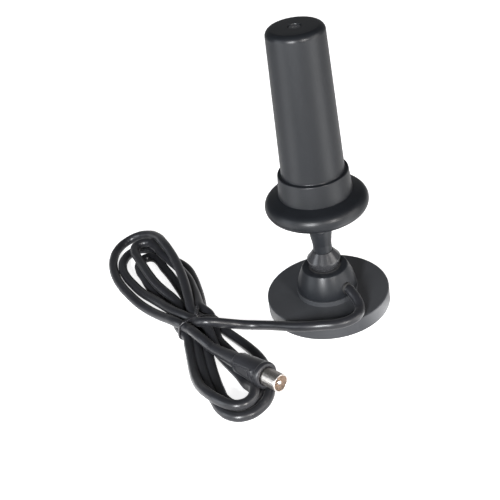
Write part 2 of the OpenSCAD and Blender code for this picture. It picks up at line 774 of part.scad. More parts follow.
// Band round the bundle with its twisted ends
module cord_tie() {
    color([0.05, 0.05, 0.06]) union() {
        difference() {
            bundle(tie_t + 0.05, tie_w);
            bundle(0.05, tie_w + 2);
        }
        translate([waist_at[0], waist_at[1], waist_z + waist_h + 0.5]) rotate(waist_turn + 90)
            for (y = [-0.7, 0.7]) translate([2, y, 0.9]) rotate([0, 90, 0])
                cylinder(d = 1.8, h = 8, $fn = 16);
    }
}

// ---- Plug ----

// Rubber body, round at the front ring and flattened on both sides behind it
module plug_body() {
    r = plug_d / 2;
    ring_l = 3;
    rear_r = 5.2;
    color([0.12, 0.12, 0.13]) at_plug() difference() {
        rotate_extrude() polygon(concat(
            [[core_d / 2, -plug_l], [rear_r - 0.4, -plug_l], [rear_r, -plug_l + 0.4],
             [r - 0.5, -ring_l - 0.9], [r - 0.5, -ring_l]],
            arc([r - 1, -ring_l + 1], 1, -90, 0, 3),
            arc([r - 1.2, -1.2], 1.2, 0, 90, 5),
            [[shank_r + fit / 2, 0], [shank_r + fit / 2, -sleeve_in], [core_d / 2, -sleeve_in]]));
        for (side = [-1, 1]) translate([-10, side * 15 - 10, -plug_l - 1])
            cube([20, 20, plug_l - ring_l - 3]);
    }
}

// Tapered strain relief between the plug's body and the cable
module plug_relief() {
    color([0.12, 0.12, 0.13]) at_plug() translate([0, 0, -plug_l - relief_l]) difference() {
        cylinder(r1 = cable_d / 2 + 0.5, r2 = 4.4, h = relief_l - 0.02, $fn = 48);
        for (i = [0 : 2]) translate([0, 0, 4 + 4.4 * i]) difference() {
            cylinder(r = 8, h = 0.8);
            translate([0, 0, -1]) cylinder(r = cable_d / 2 + 0.3 + 0.35 * i, h = 4, $fn = 48);
        }
    }
}

// Nickel-plated outer contact
module plug_sleeve() {
    color([0.75, 0.74, 0.72]) at_plug() difference() {
        union() {
            translate([0, 0, 0.02]) cylinder(d = sleeve_d, h = sleeve_l - 0.02, $fn = 64);
            translate([0, 0, -sleeve_in + 0.02]) cylinder(r = shank_r, h = sleeve_in, $fn = 64);
        }
        translate([0, 0, -sleeve_in - 1]) cylinder(r = insulator_r + 0.02, h = 40, $fn = 64);
    }
}

module plug_insulator() {
    color([0.72, 0.6, 0.45]) at_plug() translate([0, 0, -sleeve_in + 0.02]) difference() {
        cylinder(r = insulator_r, h = sleeve_in + insulator_proud, $fn = 64);
        translate([0, 0, -1]) cylinder(r = pin_tail_r + 0.02, h = 40, $fn = 32);
    }
}

// Centre pin, with a thinner tail in the insulator and a rounded tip inside the sleeve's rim
module plug_pin() {
    tip = sleeve_l - 0.6;
    face = insulator_proud + 0.04;
    color([0.85, 0.82, 0.74]) at_plug() rotate_extrude($fn = 32) polygon(concat(
        [[0, -sleeve_in + 0.02], [pin_tail_r, -sleeve_in + 0.02], [pin_tail_r, face],
         [pin_d / 2, face]],
        arc([pin_d / 2 - 0.7, tip - 0.7], 0.7, 0, 90, 4), [[0, tip]]));
}

base_housing();
bottom_plate();
foot_pad();
ring_magnet();
weight_plate();
base_screws();
pedestal();
pedestal_screws();
cable_gland();
crimp_ring();
inner_lead();
ball_seat();
draw_stud();
stop_washer();
disc_springs();
draw_nut();
ball_shell();
stem_bell();
head_ring();
collar();
radome();
radome_seal();
top_plug();
head_screws();
amplifier_board();
board_screws();
shield_can();
amplifier_parts();
antenna_board();
upper_radiator();
lower_radiator();
balun_core();
head_lead();
lead_ferrule();
cord_lead();
cord_hank_upper();
cord_hank_waist();
cord_hank_lower();
cord_tail();
cord_tie();
plug_body();
plug_relief();
plug_sleeve();
plug_insulator();
plug_pin();
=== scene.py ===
"""Finished look of a stick antenna with a ball joint, a weighted base and a tied cable.

The packed model gives every place and size. Each operator makes one piece or a group of like pieces.
"""

from math import acos, asin, cos, pi, radians, sin, tau

import bmesh
import bpy
from mathutils import Matrix, Vector


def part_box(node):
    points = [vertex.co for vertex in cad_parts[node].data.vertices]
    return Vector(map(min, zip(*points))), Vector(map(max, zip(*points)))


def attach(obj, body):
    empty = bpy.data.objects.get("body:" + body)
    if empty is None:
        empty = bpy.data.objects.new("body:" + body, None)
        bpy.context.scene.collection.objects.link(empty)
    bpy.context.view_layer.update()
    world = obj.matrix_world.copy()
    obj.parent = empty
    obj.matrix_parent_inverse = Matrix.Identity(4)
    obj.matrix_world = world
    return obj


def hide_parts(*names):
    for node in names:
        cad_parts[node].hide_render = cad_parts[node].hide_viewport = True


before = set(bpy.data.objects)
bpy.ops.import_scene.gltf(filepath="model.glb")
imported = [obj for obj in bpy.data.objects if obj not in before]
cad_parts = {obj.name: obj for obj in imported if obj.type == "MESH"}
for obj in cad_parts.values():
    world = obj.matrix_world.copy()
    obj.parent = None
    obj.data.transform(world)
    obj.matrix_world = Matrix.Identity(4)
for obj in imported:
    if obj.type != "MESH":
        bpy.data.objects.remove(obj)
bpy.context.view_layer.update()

bl_info = {
    "name": "Stick Antenna",
    "version": (1, 0, 0),
    "blender": (4, 5, 0),
    "location": "3D View > Sidebar > Antenna",
    "description": "Cable, mouldings, fittings, finishes and stage of a stick antenna",
    "category": "Object",
}

MM = 0.001

# ---- Settings ----


def length(label, text, millimetres):
    """A property that holds a size, with its default given in millimetres."""
    return bpy.props.FloatProperty(
        name=label,
        description=text,
        default=millimetres * MM,
        min=0.0,
        unit="LENGTH",
        subtype="DISTANCE",
        precision=5,
    )


def tint(label, text, value):
    """A property that holds a colour."""
    return bpy.props.FloatVectorProperty(
        name=label, description=text, default=value, size=3, min=0.0, max=1.0, subtype="COLOR"
    )


def share(label, text, value, top=1.0):
    """A property that holds a plain number from nought to top."""
    return bpy.props.FloatProperty(
        name=label, description=text, default=value, min=0.0, max=top, subtype="FACTOR"
    )


class CableSettings(bpy.types.PropertyGroup):
    """Sizes of the cable, its tie and its plug."""

    diameter: length("Cable Diameter", "Outside diameter of the jacket", 5.6)
    band_width: length("Tie Width", "Width of the band round the bundle", 1.8)
    band_thickness: length("Tie Thickness", "Thickness of the band", 1.0)
    twist_pitch: length("Twist Pitch", "Length of one turn of the tie's twisted ends", 3.6)
    plug_diameter: length("Plug Diameter", "Diameter of the plug's front ring", 14.3)
    grip_depth: length("Grip Depth", "Height of the frame round the plug's thumb rest", 0.25)
    flutes: bpy.props.IntProperty(
        name="Sleeve Flutes",
        description="Fine lengthwise flutes on the plug's metal sleeve",
        default=20,
        min=4,
        max=60,
    )


class MouldingSettings(bpy.types.PropertyGroup):
    """Sizes of the turned mouldings."""

    segments: bpy.props.IntProperty(
        name="Segments", description="Faces round each turned piece", default=160, min=24, max=512
    )
    radome_foot: length("Radome Foot", "Radius of the radome where it leaves the collar", 16.9)
    radome_top: length("Radome Top", "Radius of the radome near its top", 15.0)
    radome_edge: length("Radome Edge", "Rounding of the radome's top edge", 3.4)
    collar_foot: length("Collar Foot", "Radius of the collar on the ring", 19.9)
    collar_top: length("Collar Top", "Radius of the collar at its top", 18.9)
    collar_edge: length("Collar Edge", "Rounding of the collar's top edge", 0.8)


class FixingSettings(bpy.types.PropertyGroup):
    """Sizes of the screws and of the small parts on the board."""

    thread_pitch: length("Thread Pitch", "Distance between the screws' threads", 0.8)
    chip_size: length("Chip Size", "Length of the smallest parts on the board", 1.0)


class FinishSettings(bpy.types.PropertyGroup):
    """Colours and gloss of the finishes."""

    charcoal: tint("Charcoal", "Moulded plastic of the stand and the head", (0.0076, 0.0086, 0.0104))
    base_black: tint("Base Black", "Smoother plastic of the base disc", (0.042, 0.044, 0.048))
    jacket: tint("Jacket", "Cable jacket", (0.0125, 0.013, 0.0155))
    shoulder: tint("Shoulder", "Painted casting of the ball and its shoulder", (0.030, 0.0305, 0.033))
    nickel: tint("Nickel", "Plated sleeve of the plug", (0.80, 0.76, 0.72))
    # The insulator's tan is set lighter than the part's own colour: painted brightness that makes up
    # for the shade deep in the sleeve's bore.
    insulator: tint("Insulator", "Plug's insulator", (0.62, 0.47, 0.37))
    satin: share("Satin", "Roughness of the moulded plastic", 0.36)
    base_gloss: share("Base Roughness", "Roughness of the base disc", 0.34)


class StageSettings(bpy.types.PropertyGroup):
    """Camera, floor and lights."""

    floor: tint("Floor", "Colour of the floor", (0.90, 0.90, 0.905))
    glow: share("Floor Glow", "Light that the floor gives off by itself", 0.85, 4.0)
    glow_ahead: share("Glow Ahead", "Glow of the floor in reflections, away from the pools", 0.16, 4.0)
    pool_left: share("Left Pool", "Extra glow of the floor to the front left", 1.5, 4.0)
    pool_right: share("Right Pool", "Extra glow of the floor to the front right", 2.2, 4.0)
    sides: share("Side Lights", "Strength of the two side panels, in watts", 4.0, 400.0)
    front: share("Front Light", "Strength of the small front panel, in watts", 18.0, 400.0)
    sky: share("Sky", "Brightness of the surroundings near the horizon", 0.30, 4.0)
    lens: bpy.props.FloatProperty(
        name="Lens", description="Focal length of the camera", default=70.9, unit="CAMERA"
    )


# ---- Finishes ----


def node(mat, kind, **values):
    """A new node in a material, with its settings."""
    made = mat.node_tree.nodes.new(kind)
    for key, value in values.items():
        setattr(made, key, value)
    return made


def wire(mat, source, target):
    mat.node_tree.links.new(source, target)


def ramp(mat, fac, start, end, low=0.0, high=1.0, kind="LINEAR"):
    """A number that goes from low to high while fac goes from start to end."""
    spread = node(mat, "ShaderNodeMapRange", interpolation_type=kind)
    for name, value in zip(("From Min", "From Max", "To Min", "To Max"), (start, end, low, high)):
        spread.inputs[name].default_value = value
    wire(mat, fac, spread.inputs["Value"])
    return spread.outputs["Result"]


def reckon(mat, operation, *terms):
    """The result of a sum on sockets and plain numbers."""
    made = node(mat, "ShaderNodeMath", operation=operation)
    for target, term in zip(made.inputs, terms):
        if isinstance(term, bpy.types.NodeSocket):
            wire(mat, term, target)
        else:
            target.default_value = term
    return made.outputs[0]


def by_view(mat, reflected, direct):
    """One number for light that is reflected, another for what is seen directly."""
    path = node(mat, "ShaderNodeLightPath")
    mix = node(mat, "ShaderNodeMix", data_type="FLOAT")
    wire(mat, path.outputs["Is Camera Ray"], mix.inputs["Factor"])
    wire(mat, reflected, mix.inputs["A"])
    mix.inputs["B"].default_value = direct
    return mix.outputs["Result"]


def bare(name, colour, roughness, metal=0.0):
    """A material with its shader's plain values set, and the point in object space."""
    mat = bpy.data.materials.new(name)
    mat.use_nodes = True
    shader = mat.node_tree.nodes["Principled BSDF"]
    shader.inputs["Base Color"].default_value = (*colour, 1.0)
    shader.inputs["Roughness"].default_value = roughness
    shader.inputs["Metallic"].default_value = metal
    point = node(mat, "ShaderNodeTexCoord").outputs["Object"]
    mat.diffuse_color = (*colour, 1.0)
    return mat, shader, point


def speckle(mat, point, size, detail=2.0, stretch=None):
    """Noise whose patches are about as large as size, in metres."""
    if stretch:
        mapping = node(mat, "ShaderNodeMapping")
        mapping.inputs["Scale"].default_value = stretch
        wire(mat, point, mapping.inputs["Vector"])
        point = mapping.outputs["Vector"]
    noise = node(mat, "ShaderNodeTexNoise")
    noise.inputs["Scale"].default_value = 1.0 / size
    noise.inputs["Detail"].default_value = detail
    wire(mat, point, noise.inputs["Vector"])
    return noise.outputs["Fac"]


def vary_colour(mat, shader, fac, dark, light):
    """Base colour that goes between two tones with a noise."""
    mix = node(mat, "ShaderNodeMix", data_type="RGBA")
    wire(mat, ramp(mat, fac, 0.35, 0.65), mix.inputs["Factor"])
    mix.inputs["A"].default_value = (*dark, 1.0)
    mix.inputs["B"].default_value = (*light, 1.0)
    wire(mat, mix.outputs["Result"], shader.inputs["Base Color"])


def vary_gloss(mat, shader, fac, low, high):
    """Roughness that goes between two values with a noise."""
    wire(mat, ramp(mat, fac, 0.3, 0.7, low, high), shader.inputs["Roughness"])


def grain(mat, shader, height, depth, strength=1.0):
    """Fine relief from a noise, as deep as depth, in metres."""
    bump = node(mat, "ShaderNodeBump")
    bump.inputs["Strength"].default_value = strength
    bump.inputs["Distance"].default_value = depth
    wire(mat, height, bump.inputs["Height"])
    wire(mat, bump.outputs["Normal"], shader.inputs["Normal"])


def scaled(colour, factor):
    return tuple(min(1.0, part * factor) for part in colour)


def moulded(name, colour, roughness, texture=0.5, depth=0.006, mottle=0.10, shine=0.3):
    """Injection-moulded plastic: spark-eroded grain, faint flow marks and uneven gloss."""
    mat, shader, point = bare(name, colour, roughness)
    shader.inputs["Specular IOR Level"].default_value = shine
    flow = speckle(mat, point, 22 * MM, 3.0, (1.0, 1.0, 0.45))
    vary_colour(mat, shader, flow, scaled(colour, 1 - mottle), scaled(colour, 1 + mottle))
    handling = speckle(mat, point, 9 * MM, 4.0)
    vary_gloss(mat, shader, handling, roughness * 0.93, roughness * 1.07)
    grain(mat, shader, speckle(mat, point, texture * MM, 3.0), depth * MM)
    return mat


def rubbery(name, colour, roughness):
    """Soft PVC or rubber with a faint skin."""
    mat, shader, point = bare(name, colour, roughness)
    shader.inputs["Sheen Weight"].default_value = 0.06
    shader.inputs["Sheen Roughness"].default_value = 0.4
    vary_colour(mat, shader, speckle(mat, point, 14 * MM, 3.0), scaled(colour, 0.86),
                scaled(colour, 1.16))
    vary_gloss(mat, shader, speckle(mat, point, 5 * MM, 3.0), roughness * 0.9, roughness * 1.12)
    grain(mat, shader, speckle(mat, point, 0.6 * MM, 2.0), 0.008 * MM)
    return mat


def plated(name, colour, roughness, streaks=(1.0, 1.0, 0.08), depth=0.0006):
    """Metal with fine drawn or turned streaks along one axis."""
    mat, shader, point = bare(name, colour, roughness, 1.0)
    lines = speckle(mat, point, 0.35 * MM, 2.0, streaks)
    vary_gloss(mat, shader, lines, roughness * 0.75, roughness * 1.3)
    cloud = speckle(mat, point, 6 * MM, 3.0)
    vary_colour(mat, shader, cloud, scaled(colour, 0.88), scaled(colour, 1.06))
    grain(mat, shader, lines, depth * MM, 0.4)
    return mat


def ribbed_rubber(name, colour, roughness):
    """Rubber with fine concentric grip rings round the object's axis."""
    mat, shader, point = bare(name, colour, roughness)
    rings = node(mat, "ShaderNodeTexWave", wave_type="RINGS", rings_direction="Z")
    rings.inputs["Scale"].default_value = 130.0
    rings.inputs["Distortion"].default_value = 0.0
    wire(mat, point, rings.inputs["Vector"])
    grain(mat, shader, rings.outputs["Fac"], 0.15 * MM)
    vary_colour(mat, shader, speckle(mat, point, 6 * MM), scaled(colour, 0.8), scaled(colour, 1.2))
    return mat


def circuit(name, colour):
    """Solder-masked board with traces that show as slightly raised lines."""
    mat, shader, point = bare(name, colour, 0.35)
    tracks = node(mat, "ShaderNodeTexVoronoi", feature="DISTANCE_TO_EDGE", distance="MANHATTAN")
    tracks.inputs["Scale"].default_value = 420.0
    wire(mat, point, tracks.inputs["Vector"])
    edge = ramp(mat, tracks.outputs["Distance"], 0.05, 0.11, 1.0, 0.0)
    mix = node(mat, "ShaderNodeMix", data_type="RGBA")
    mix.inputs["A"].default_value = (*colour, 1.0)
    mix.inputs["B"].default_value = (*scaled(colour, 1.9), 1.0)
    wire(mat, edge, mix.inputs["Factor"])
    wire(mat, mix.outputs["Result"], shader.inputs["Base Color"])
    grain(mat, shader, edge, 0.03 * MM)
    return mat


def ceramic(name, colour, roughness=0.55):
    """Sintered ferrite, nylon or filled plastic with a coarse speckle."""
    mat, shader, point = bare(name, colour, roughness)
    vary_colour(mat, shader, speckle(mat, point, 0.8 * MM, 4.0), scaled(colour, 0.75),
                scaled(colour, 1.3))
    vary_gloss(mat, shader, speckle(mat, point, 3 * MM), roughness * 0.85, roughness * 1.15)
    grain(mat, shader, speckle(mat, point, 0.4 * MM, 3.0), 0.01 * MM)
    return mat


def paint():
    """Every finish, most of them under the name of their slot in the record."""
    look = bpy.context.scene.antenna_finish
    return {
        "black_plastic": moulded("charcoal_moulding", look.charcoal, look.satin),
        "grey_plastic": moulded("pedestal_moulding", scaled(look.charcoal, 1.4), look.satin * 1.05),
        "gloss_plastic": moulded("base_moulding", look.base_black, look.base_gloss, 0.4, 0.0008),
        "radome_plastic": moulded("radome_moulding", look.charcoal, look.satin * 0.95, 0.45, 0.005),
        "seat_nylon": ceramic("seat_nylon_filled", (0.03, 0.03, 0.031), 0.45),
        "joint_metal": moulded("painted_casting", look.shoulder, 0.22, 0.4, 0.0006, shine=0.6),
        "zinc_steel": plated("zinc_plated_steel", (0.62, 0.63, 0.66), 0.32),
        "dark_screw": plated("blackened_steel", (0.10, 0.10, 0.105), 0.35),
        "spring_steel": plated("spring_steel_dark", (0.34, 0.34, 0.36), 0.30, (1.0, 1.0, 1.0)),
        "weight_steel": plated("weight_steel_sheared", (0.38, 0.38, 0.39), 0.42, (1.0, 0.1, 1.0)),
        "ferrite": ceramic("ferrite_sintered", (0.035, 0.035, 0.037), 0.5),
        "rubber": ribbed_rubber("foot_rubber", (0.016, 0.016, 0.016), 0.72),
        "cable_jacket": rubbery("cable_jacket_pvc", look.jacket, 0.34),
        "tie_plastic": rubbery("tie_coating", (0.013, 0.013, 0.015), 0.22),
        "nickel": plated("nickel_plate", look.nickel, 0.34, (1.0, 1.0, 1.0)),
        # Insulator colour lightened as painted brightness against the shade inside the sleeve's bore.
        "insulator": ceramic("insulator_phenolic_lightened_for_shade", look.insulator, 0.5),
        "board": circuit("board_laminate", (0.012, 0.075, 0.035)),
        "copper": plated("copper_foil", (0.78, 0.36, 0.17), 0.30),
        "tin": plated("tinned_sheet", (0.66, 0.66, 0.64), 0.28, (0.1, 1.0, 1.0)),
        "chip": ceramic("chip_epoxy", (0.02, 0.02, 0.021), 0.42),
        "plug_rubber": rubbery("plug_moulding", scaled(look.jacket, 1.2), 0.38),
    }


FINISH = {}


def finish(name):
    """The finish of a slot; all of them are made at the first call."""
    if not FINISH:
        FINISH.update(paint())
    return FINISH[name]


# ---- Meshes ----


def empty_object(name, data):
    """A new object in the scene, at the origin."""
    made = bpy.data.objects.new(name, data)
    bpy.context.scene.collection.objects.link(made)
    return made


def mesh_object(name, verts, faces, finish_name, smooth=True):
    """A mesh from points in metres, its doubles merged and its faces turned outward."""
    mesh = bpy.data.meshes.new(name)
    mesh.from_pydata([tuple(v) for v in verts], [], faces)
    tidy(mesh, smooth)
    mesh.materials.append(finish(finish_name))
    return empty_object(name, mesh)


def tidy(mesh, smooth=True):
    """Merges doubles, turns the faces outward and sets the shading."""
    work = bmesh.new()
    work.from_mesh(mesh)
    bmesh.ops.remove_doubles(work, verts=work.verts, dist=1e-7)
    bmesh.ops.dissolve_degenerate(work, edges=work.edges, dist=1e-8)
    bmesh.ops.recalc_face_normals(work, faces=work.faces)
    for face in work.faces:
        face.smooth = smooth
    work.to_mesh(mesh)
    work.free()
    mesh.update()


def hand_over(obj, body, slot, *nodes):
    """Puts a finished piece on its body, in place of the packed nodes."""
    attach(obj, body)
    if nodes:
        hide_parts(*nodes)
    return obj


def rounded(corners, steps=5):
    """A profile in millimetres from (radius, height, rounding) corners, as points in metres.

    A rounded corner gets an arc and one more point beside each of its ends, which keeps flats flat.
    """
    out = []
    count = len(corners)
    for i, (x, z, r) in enumerate(corners):
        here = Vector((x, 0, z))
        if r <= 0 or i in (0, count - 1):
            out.append(here)
            continue
        before = Vector((corners[i - 1][0], 0, corners[i - 1][1])) - here
        after = Vector((corners[i + 1][0], 0, corners[i + 1][1])) - here
        half = before.angle(after) / 2
        reach = min(r / max(0.05, abs(sin(half) / cos(half))), 0.45 * before.length,
                    0.45 * after.length)
        a = here + before.normalized() * reach
        b = here + after.normalized() * reach
        out.append(here + before.normalized() * min(reach * 1.3, 0.49 * before.length))
        for k in range(steps + 1):
            t = k / steps
            out.append((1 - t) ** 2 * a + 2 * t * (1 - t) * here + t * t * b)
        out.append(here + after.normalized() * min(reach * 1.3, 0.49 * after.length))
    return [p * MM for p in out]


def arc_points(x, z, r, start, end, steps=16):
    """Corners without rounding along an arc, in millimetres and degrees."""
    return [
        (x + r * cos(radians(start + (end - start) * k / steps)),
         z + r * sin(radians(start + (end - start) * k / steps)), 0)
        for k in range(steps + 1)
    ]


# ---- Geometry node trees ----


class Tree:
    """A geometry node tree with named inputs."""

    def __init__(self, name, **inputs):
        self.group = bpy.data.node_groups.new(name, "GeometryNodeTree")
        self.group.is_modifier = True
        self.sockets = {}
        for key, kind in {"Geometry": "Geometry", **inputs}.items():
            key = key.replace("_", " ")
            self.sockets[key] = self.group.interface.new_socket(
                key, in_out="INPUT", socket_type="NodeSocket" + kind)
        self.group.interface.new_socket("Geometry", in_out="OUTPUT",
                                        socket_type="NodeSocketGeometry")
        self.start = self.group.nodes.new("NodeGroupInput")
        self.end = self.group.nodes.new("NodeGroupOutput")

    def given(self, name):
        """The socket of one of the tree's named inputs."""
        return self.start.outputs[name]

    def add(self, kind, inputs=None, **settings):
        """A new node; inputs gives a value or a socket for each named input."""
        made = self.group.nodes.new(kind)
        for key, value in settings.items():
            setattr(made, key, value)
        for key, value in (inputs or {}).items():
            self.put(made.inputs[key], value)
        return made

    def put(self, target, value):
        if isinstance(value, bpy.types.NodeSocket):
            self.group.links.new(value, target)
        elif value is not None:
            target.default_value = value

    def sum(self, operation, a, b=None):
        made = self.group.nodes.new("ShaderNodeMath")
        made.operation = operation
        self.put(made.inputs[0], a)
        self.put(made.inputs[1], b)
        return made.outputs[0]

    def vector(self, x=0.0, y=0.0, z=0.0):
        return self.add("ShaderNodeCombineXYZ", {"X": x, "Y": y, "Z": z}).outputs[0]

    def close(self, geometry):
        """Ends the tree with real geometry and its finish."""
        real = self.add("GeometryNodeRealizeInstances", {"Geometry": geometry})
        coat = self.add("GeometryNodeSetMaterial", {"Geometry": real.outputs[0],
                                                    "Material": self.given("Material")})
        self.group.links.new(coat.outputs[0], self.end.inputs[0])

    def apply(self, obj, values):
        """Runs the tree on an object and leaves a plain mesh."""
        modifier = obj.modifiers.new(self.group.name, "NODES")
        modifier.node_group = self.group
        for key, value in values.items():
            modifier[self.sockets[key].identifier] = value
        graph = bpy.context.evaluated_depsgraph_get()
        mesh = bpy.data.meshes.new_from_object(obj.evaluated_get(graph), depsgraph=graph)
        obj.modifiers.clear()
        obj.data = mesh
        mesh.name = obj.name
        return obj


def named_tree(name, build):
    """A tree is built once and used again."""
    if name not in TREES:
        TREES[name] = build(name)
    return TREES[name]


TREES = {}


def build_turning(name):
    """Turns a profile line round the Z axis."""
    tree = Tree(name, Segments="Int", Material="Material")
    profile = tree.given("Geometry")
    count = tree.add("GeometryNodeAttributeDomainSize", {"Geometry": profile}).outputs[0]
    around = tree.sum("ADD", tree.given("Segments"), 1.0)
    grid = tree.add("GeometryNodeMeshGrid", {"Size X": 1.0, "Size Y": 1.0, "Vertices X": around,
                                             "Vertices Y": count})
    index = tree.add("GeometryNodeInputIndex").outputs[0]
    place = tree.add("GeometryNodeInputPosition").outputs[0]
    row = tree.sum("MODULO", index, count)
    column = tree.sum("FLOOR", tree.sum("DIVIDE", tree.sum("ADD", index, 0.5), count))
    sample = tree.add("GeometryNodeSampleIndex", data_type="FLOAT_VECTOR", domain="POINT")
    tree.put(sample.inputs["Geometry"], profile)
    tree.put(sample.inputs["Value"], place)
    tree.put(sample.inputs["Index"], row)
    angle = tree.sum("DIVIDE", tree.sum("MULTIPLY", column, tau), tree.given("Segments"))
    turned = tree.add("ShaderNodeVectorRotate", rotation_type="Z_AXIS")
    tree.put(turned.inputs["Vector"], sample.outputs["Value"])
    tree.put(turned.inputs["Angle"], angle)
    moved = tree.add("GeometryNodeSetPosition", {"Geometry": grid.outputs["Mesh"],
                                                 "Position": turned.outputs[0]})
    sewn = tree.add("GeometryNodeMergeByDistance", {"Geometry": moved.outputs[0],
                                                    "Distance": 1e-6})
    smooth = tree.add("GeometryNodeSetShadeSmooth", {"Geometry": sewn.outputs[0]})
    tree.close(smooth.outputs[0])
    return tree


def build_ring_of(name):
    """Sets copies of a part on a circle round the Z axis."""
    tree = Tree(name, Count="Int", Radius="Float", Height="Float", First_Angle="Float",
                Material="Material")
    points = tree.add("GeometryNodePoints", {"Count": tree.given("Count")})
    index = tree.add("GeometryNodeInputIndex").outputs[0]
    step = tree.sum("DIVIDE", tau, tree.given("Count"))
    angle = tree.sum("ADD", tree.sum("MULTIPLY", index, step), tree.given("First Angle"))
    radius = tree.given("Radius")
    place = tree.vector(tree.sum("MULTIPLY", radius, tree.sum("COSINE", angle)),
                        tree.sum("MULTIPLY", radius, tree.sum("SINE", angle)),
                        tree.given("Height"))
    tree.put(points.inputs["Position"], place)
    copies = tree.add("GeometryNodeInstanceOnPoints", {"Points": points.outputs[0],
                                                       "Instance": tree.given("Geometry"),
                                                       "Rotation": tree.vector(z=angle)})
    tree.close(copies.outputs[0])
    return tree


def build_strap(name):
    """Sweeps a soft rectangular band along a closed path."""
    tree = Tree(name, Width="Float", Thickness="Float", Material="Material")
    path = tree.add("GeometryNodeMeshToCurve", {"Mesh": tree.given("Geometry")})
    outline = tree.add("GeometryNodeCurvePrimitiveQuadrilateral", {
        "Width": tree.given("Width"), "Height": tree.given("Thickness")})
    soft = tree.add("GeometryNodeFilletCurve", {"Curve": outline.outputs[0]}, mode="POLY")
    tree.put(soft.inputs["Count"], 4)
    tree.put(soft.inputs["Radius"], tree.sum("MULTIPLY", tree.given("Thickness"), 0.42))
    sweep = tree.add("GeometryNodeCurveToMesh", {"Curve": path.outputs[0],
                                                 "Profile Curve": soft.outputs[0]})
    smooth = tree.add("GeometryNodeSetShadeSmooth", {"Geometry": sweep.outputs[0]})
    tree.close(smooth.outputs[0])
    return tree


def build_chips(name):
    """Scatters small oblong parts over a face, square to the board, in a fixed order."""
    tree = Tree(name, Size="Float", Seed="Int", Material="Material")
    spread = tree.add("GeometryNodeDistributePointsOnFaces",
                      {"Mesh": tree.given("Geometry"), "Seed": tree.given("Seed")},
                      distribute_method="POISSON")
    tree.put(spread.inputs["Distance Min"], tree.sum("MULTIPLY", tree.given("Size"), 2.1))
    tree.put(spread.inputs["Density Max"], 90000.0)
    body = tree.add("GeometryNodeMeshCube")
    size = tree.given("Size")
    tree.put(body.inputs["Size"], tree.vector(size, tree.sum("MULTIPLY", size, 0.55),
                                              tree.sum("MULTIPLY", size, 0.45)))
    lifted = tree.add("GeometryNodeTransform", {"Geometry": body.outputs["Mesh"]})
    tree.put(lifted.inputs["Translation"], tree.vector(z=tree.sum("MULTIPLY", size, 0.22)))
    pick = tree.add("FunctionNodeRandomValue", data_type="INT")
    ints = [s for s in pick.inputs if s.type == "INT"]
    ints[0].default_value = 0
    ints[1].default_value = 3
    tree.put(pick.inputs["Seed"], tree.given("Seed"))
    chosen = [s for s in pick.outputs if s.type == "INT"][0]
    turn = tree.sum("MULTIPLY", chosen, pi / 2)
    copies = tree.add("GeometryNodeInstanceOnPoints", {"Points": spread.outputs["Points"],
                                                       "Instance": lifted.outputs[0],
                                                       "Rotation": tree.vector(z=turn)})
    tree.close(copies.outputs[0])
    return tree


def turned(name, profile, finish_name):
    """A turned piece from a closed profile in metres."""
    mesh = bpy.data.meshes.new(name)
    loop = profile + [profile[0]]
    mesh.from_pydata([tuple(p) for p in loop], [(i, i + 1) for i in range(len(loop) - 1)], [])
    obj = empty_object(name, mesh)
    tree = named_tree("turned_piece", build_turning)
    sides = bpy.context.scene.antenna_moulding.segments
    tree.apply(obj, {"Segments": sides, "Material": finish(finish_name)})
    tidy(obj.data)
    return obj


# ---- Cable ----

# Centre line of the cable, strand by strand, in millimetres: over the base's edge into the tie,
# through the loops of the hank, and out to the plug. The hank's heights are those of a cable that is
# HANK_CABLE thick, and grow with the cable.
LEAD = [
    (12.6, -15.2, 16.3), (14.8, -19.6, 14.6), (16, -25.4, 12.4), (14.2, -31.2, 12.3),
    (9.4, -35.2, 12.3), (3, -37, 12.3), (-5, -36.6, 12.3), (-12, -35.2, 11.6),
    (-19.2, -32.4, 10.2), (-26, -28, 8.2), (-34, -22.8, 5.8), (-42, -19.4, 4.6),
    (-48.6, -18.8, 5.4), (-54.6, -19.4, 7.4), (-59.8, -20.6, 9.8), (-64.6, -21.6, 12),
    (-68.8, -21.8, 13), (-72.6, -20.2, 12.2), (-75.4, -15.8, 10.6),
]
UPPER_OUTER = [
    (-78.6, -12.9, 9), (-82.6, -9.8, 9), (-87, -5.6, 8.8), (-91.5, 0, 7.9), (-97, 8, 6.4),
    (-103.4, 17, 4.8), (-110.6, 27, 3.2), (-117.4, 38, 2.6), (-122.8, 48, 2.6), (-126, 58, 2.6),
    (-125.8, 67, 2.6), (-122, 74, 2.6), (-115.6, 77, 2.6), (-108.4, 74, 2.6), (-102, 67.4, 2.6),
    (-95.2, 60.8, 2.6), (-88.6, 54, 2.6), (-83.4, 46, 2.6), (-80, 36.5, 2.6), (-77.3, 26, 2.6),
    (-75, 15, 2.6), (-73.6, 5, 2.9), (-72.8, -1, 3.4),
]
LOWER_OUTER = [
    (-71.3, -5.9, 3.8), (-68.2, -9.6, 3.6), (-64.8, -13, 3), (-61, -17.4, 2.6), (-57, -22.5, 2.6),
    (-51.5, -29.5, 2.6), (-46, -37, 2.6), (-41.2, -45, 2.6), (-38, -53, 2.6), (-36, -62, 2.6),
    (-35.6, -70, 2.6), (-37, -78.5, 2.6), (-41.4, -85.5, 2.6), (-48, -89.5, 2.6),
    (-55, -88.8, 2.6), (-60.6, -83.6, 2.6), (-64.6, -75, 2.6), (-67.4, -66.5, 2.6),
    (-69.6, -58, 2.6), (-71.6, -49, 2.6), (-73.4, -39, 2.6), (-74.6, -29.5, 2.7),
    (-76.4, -21, 3.6),
]
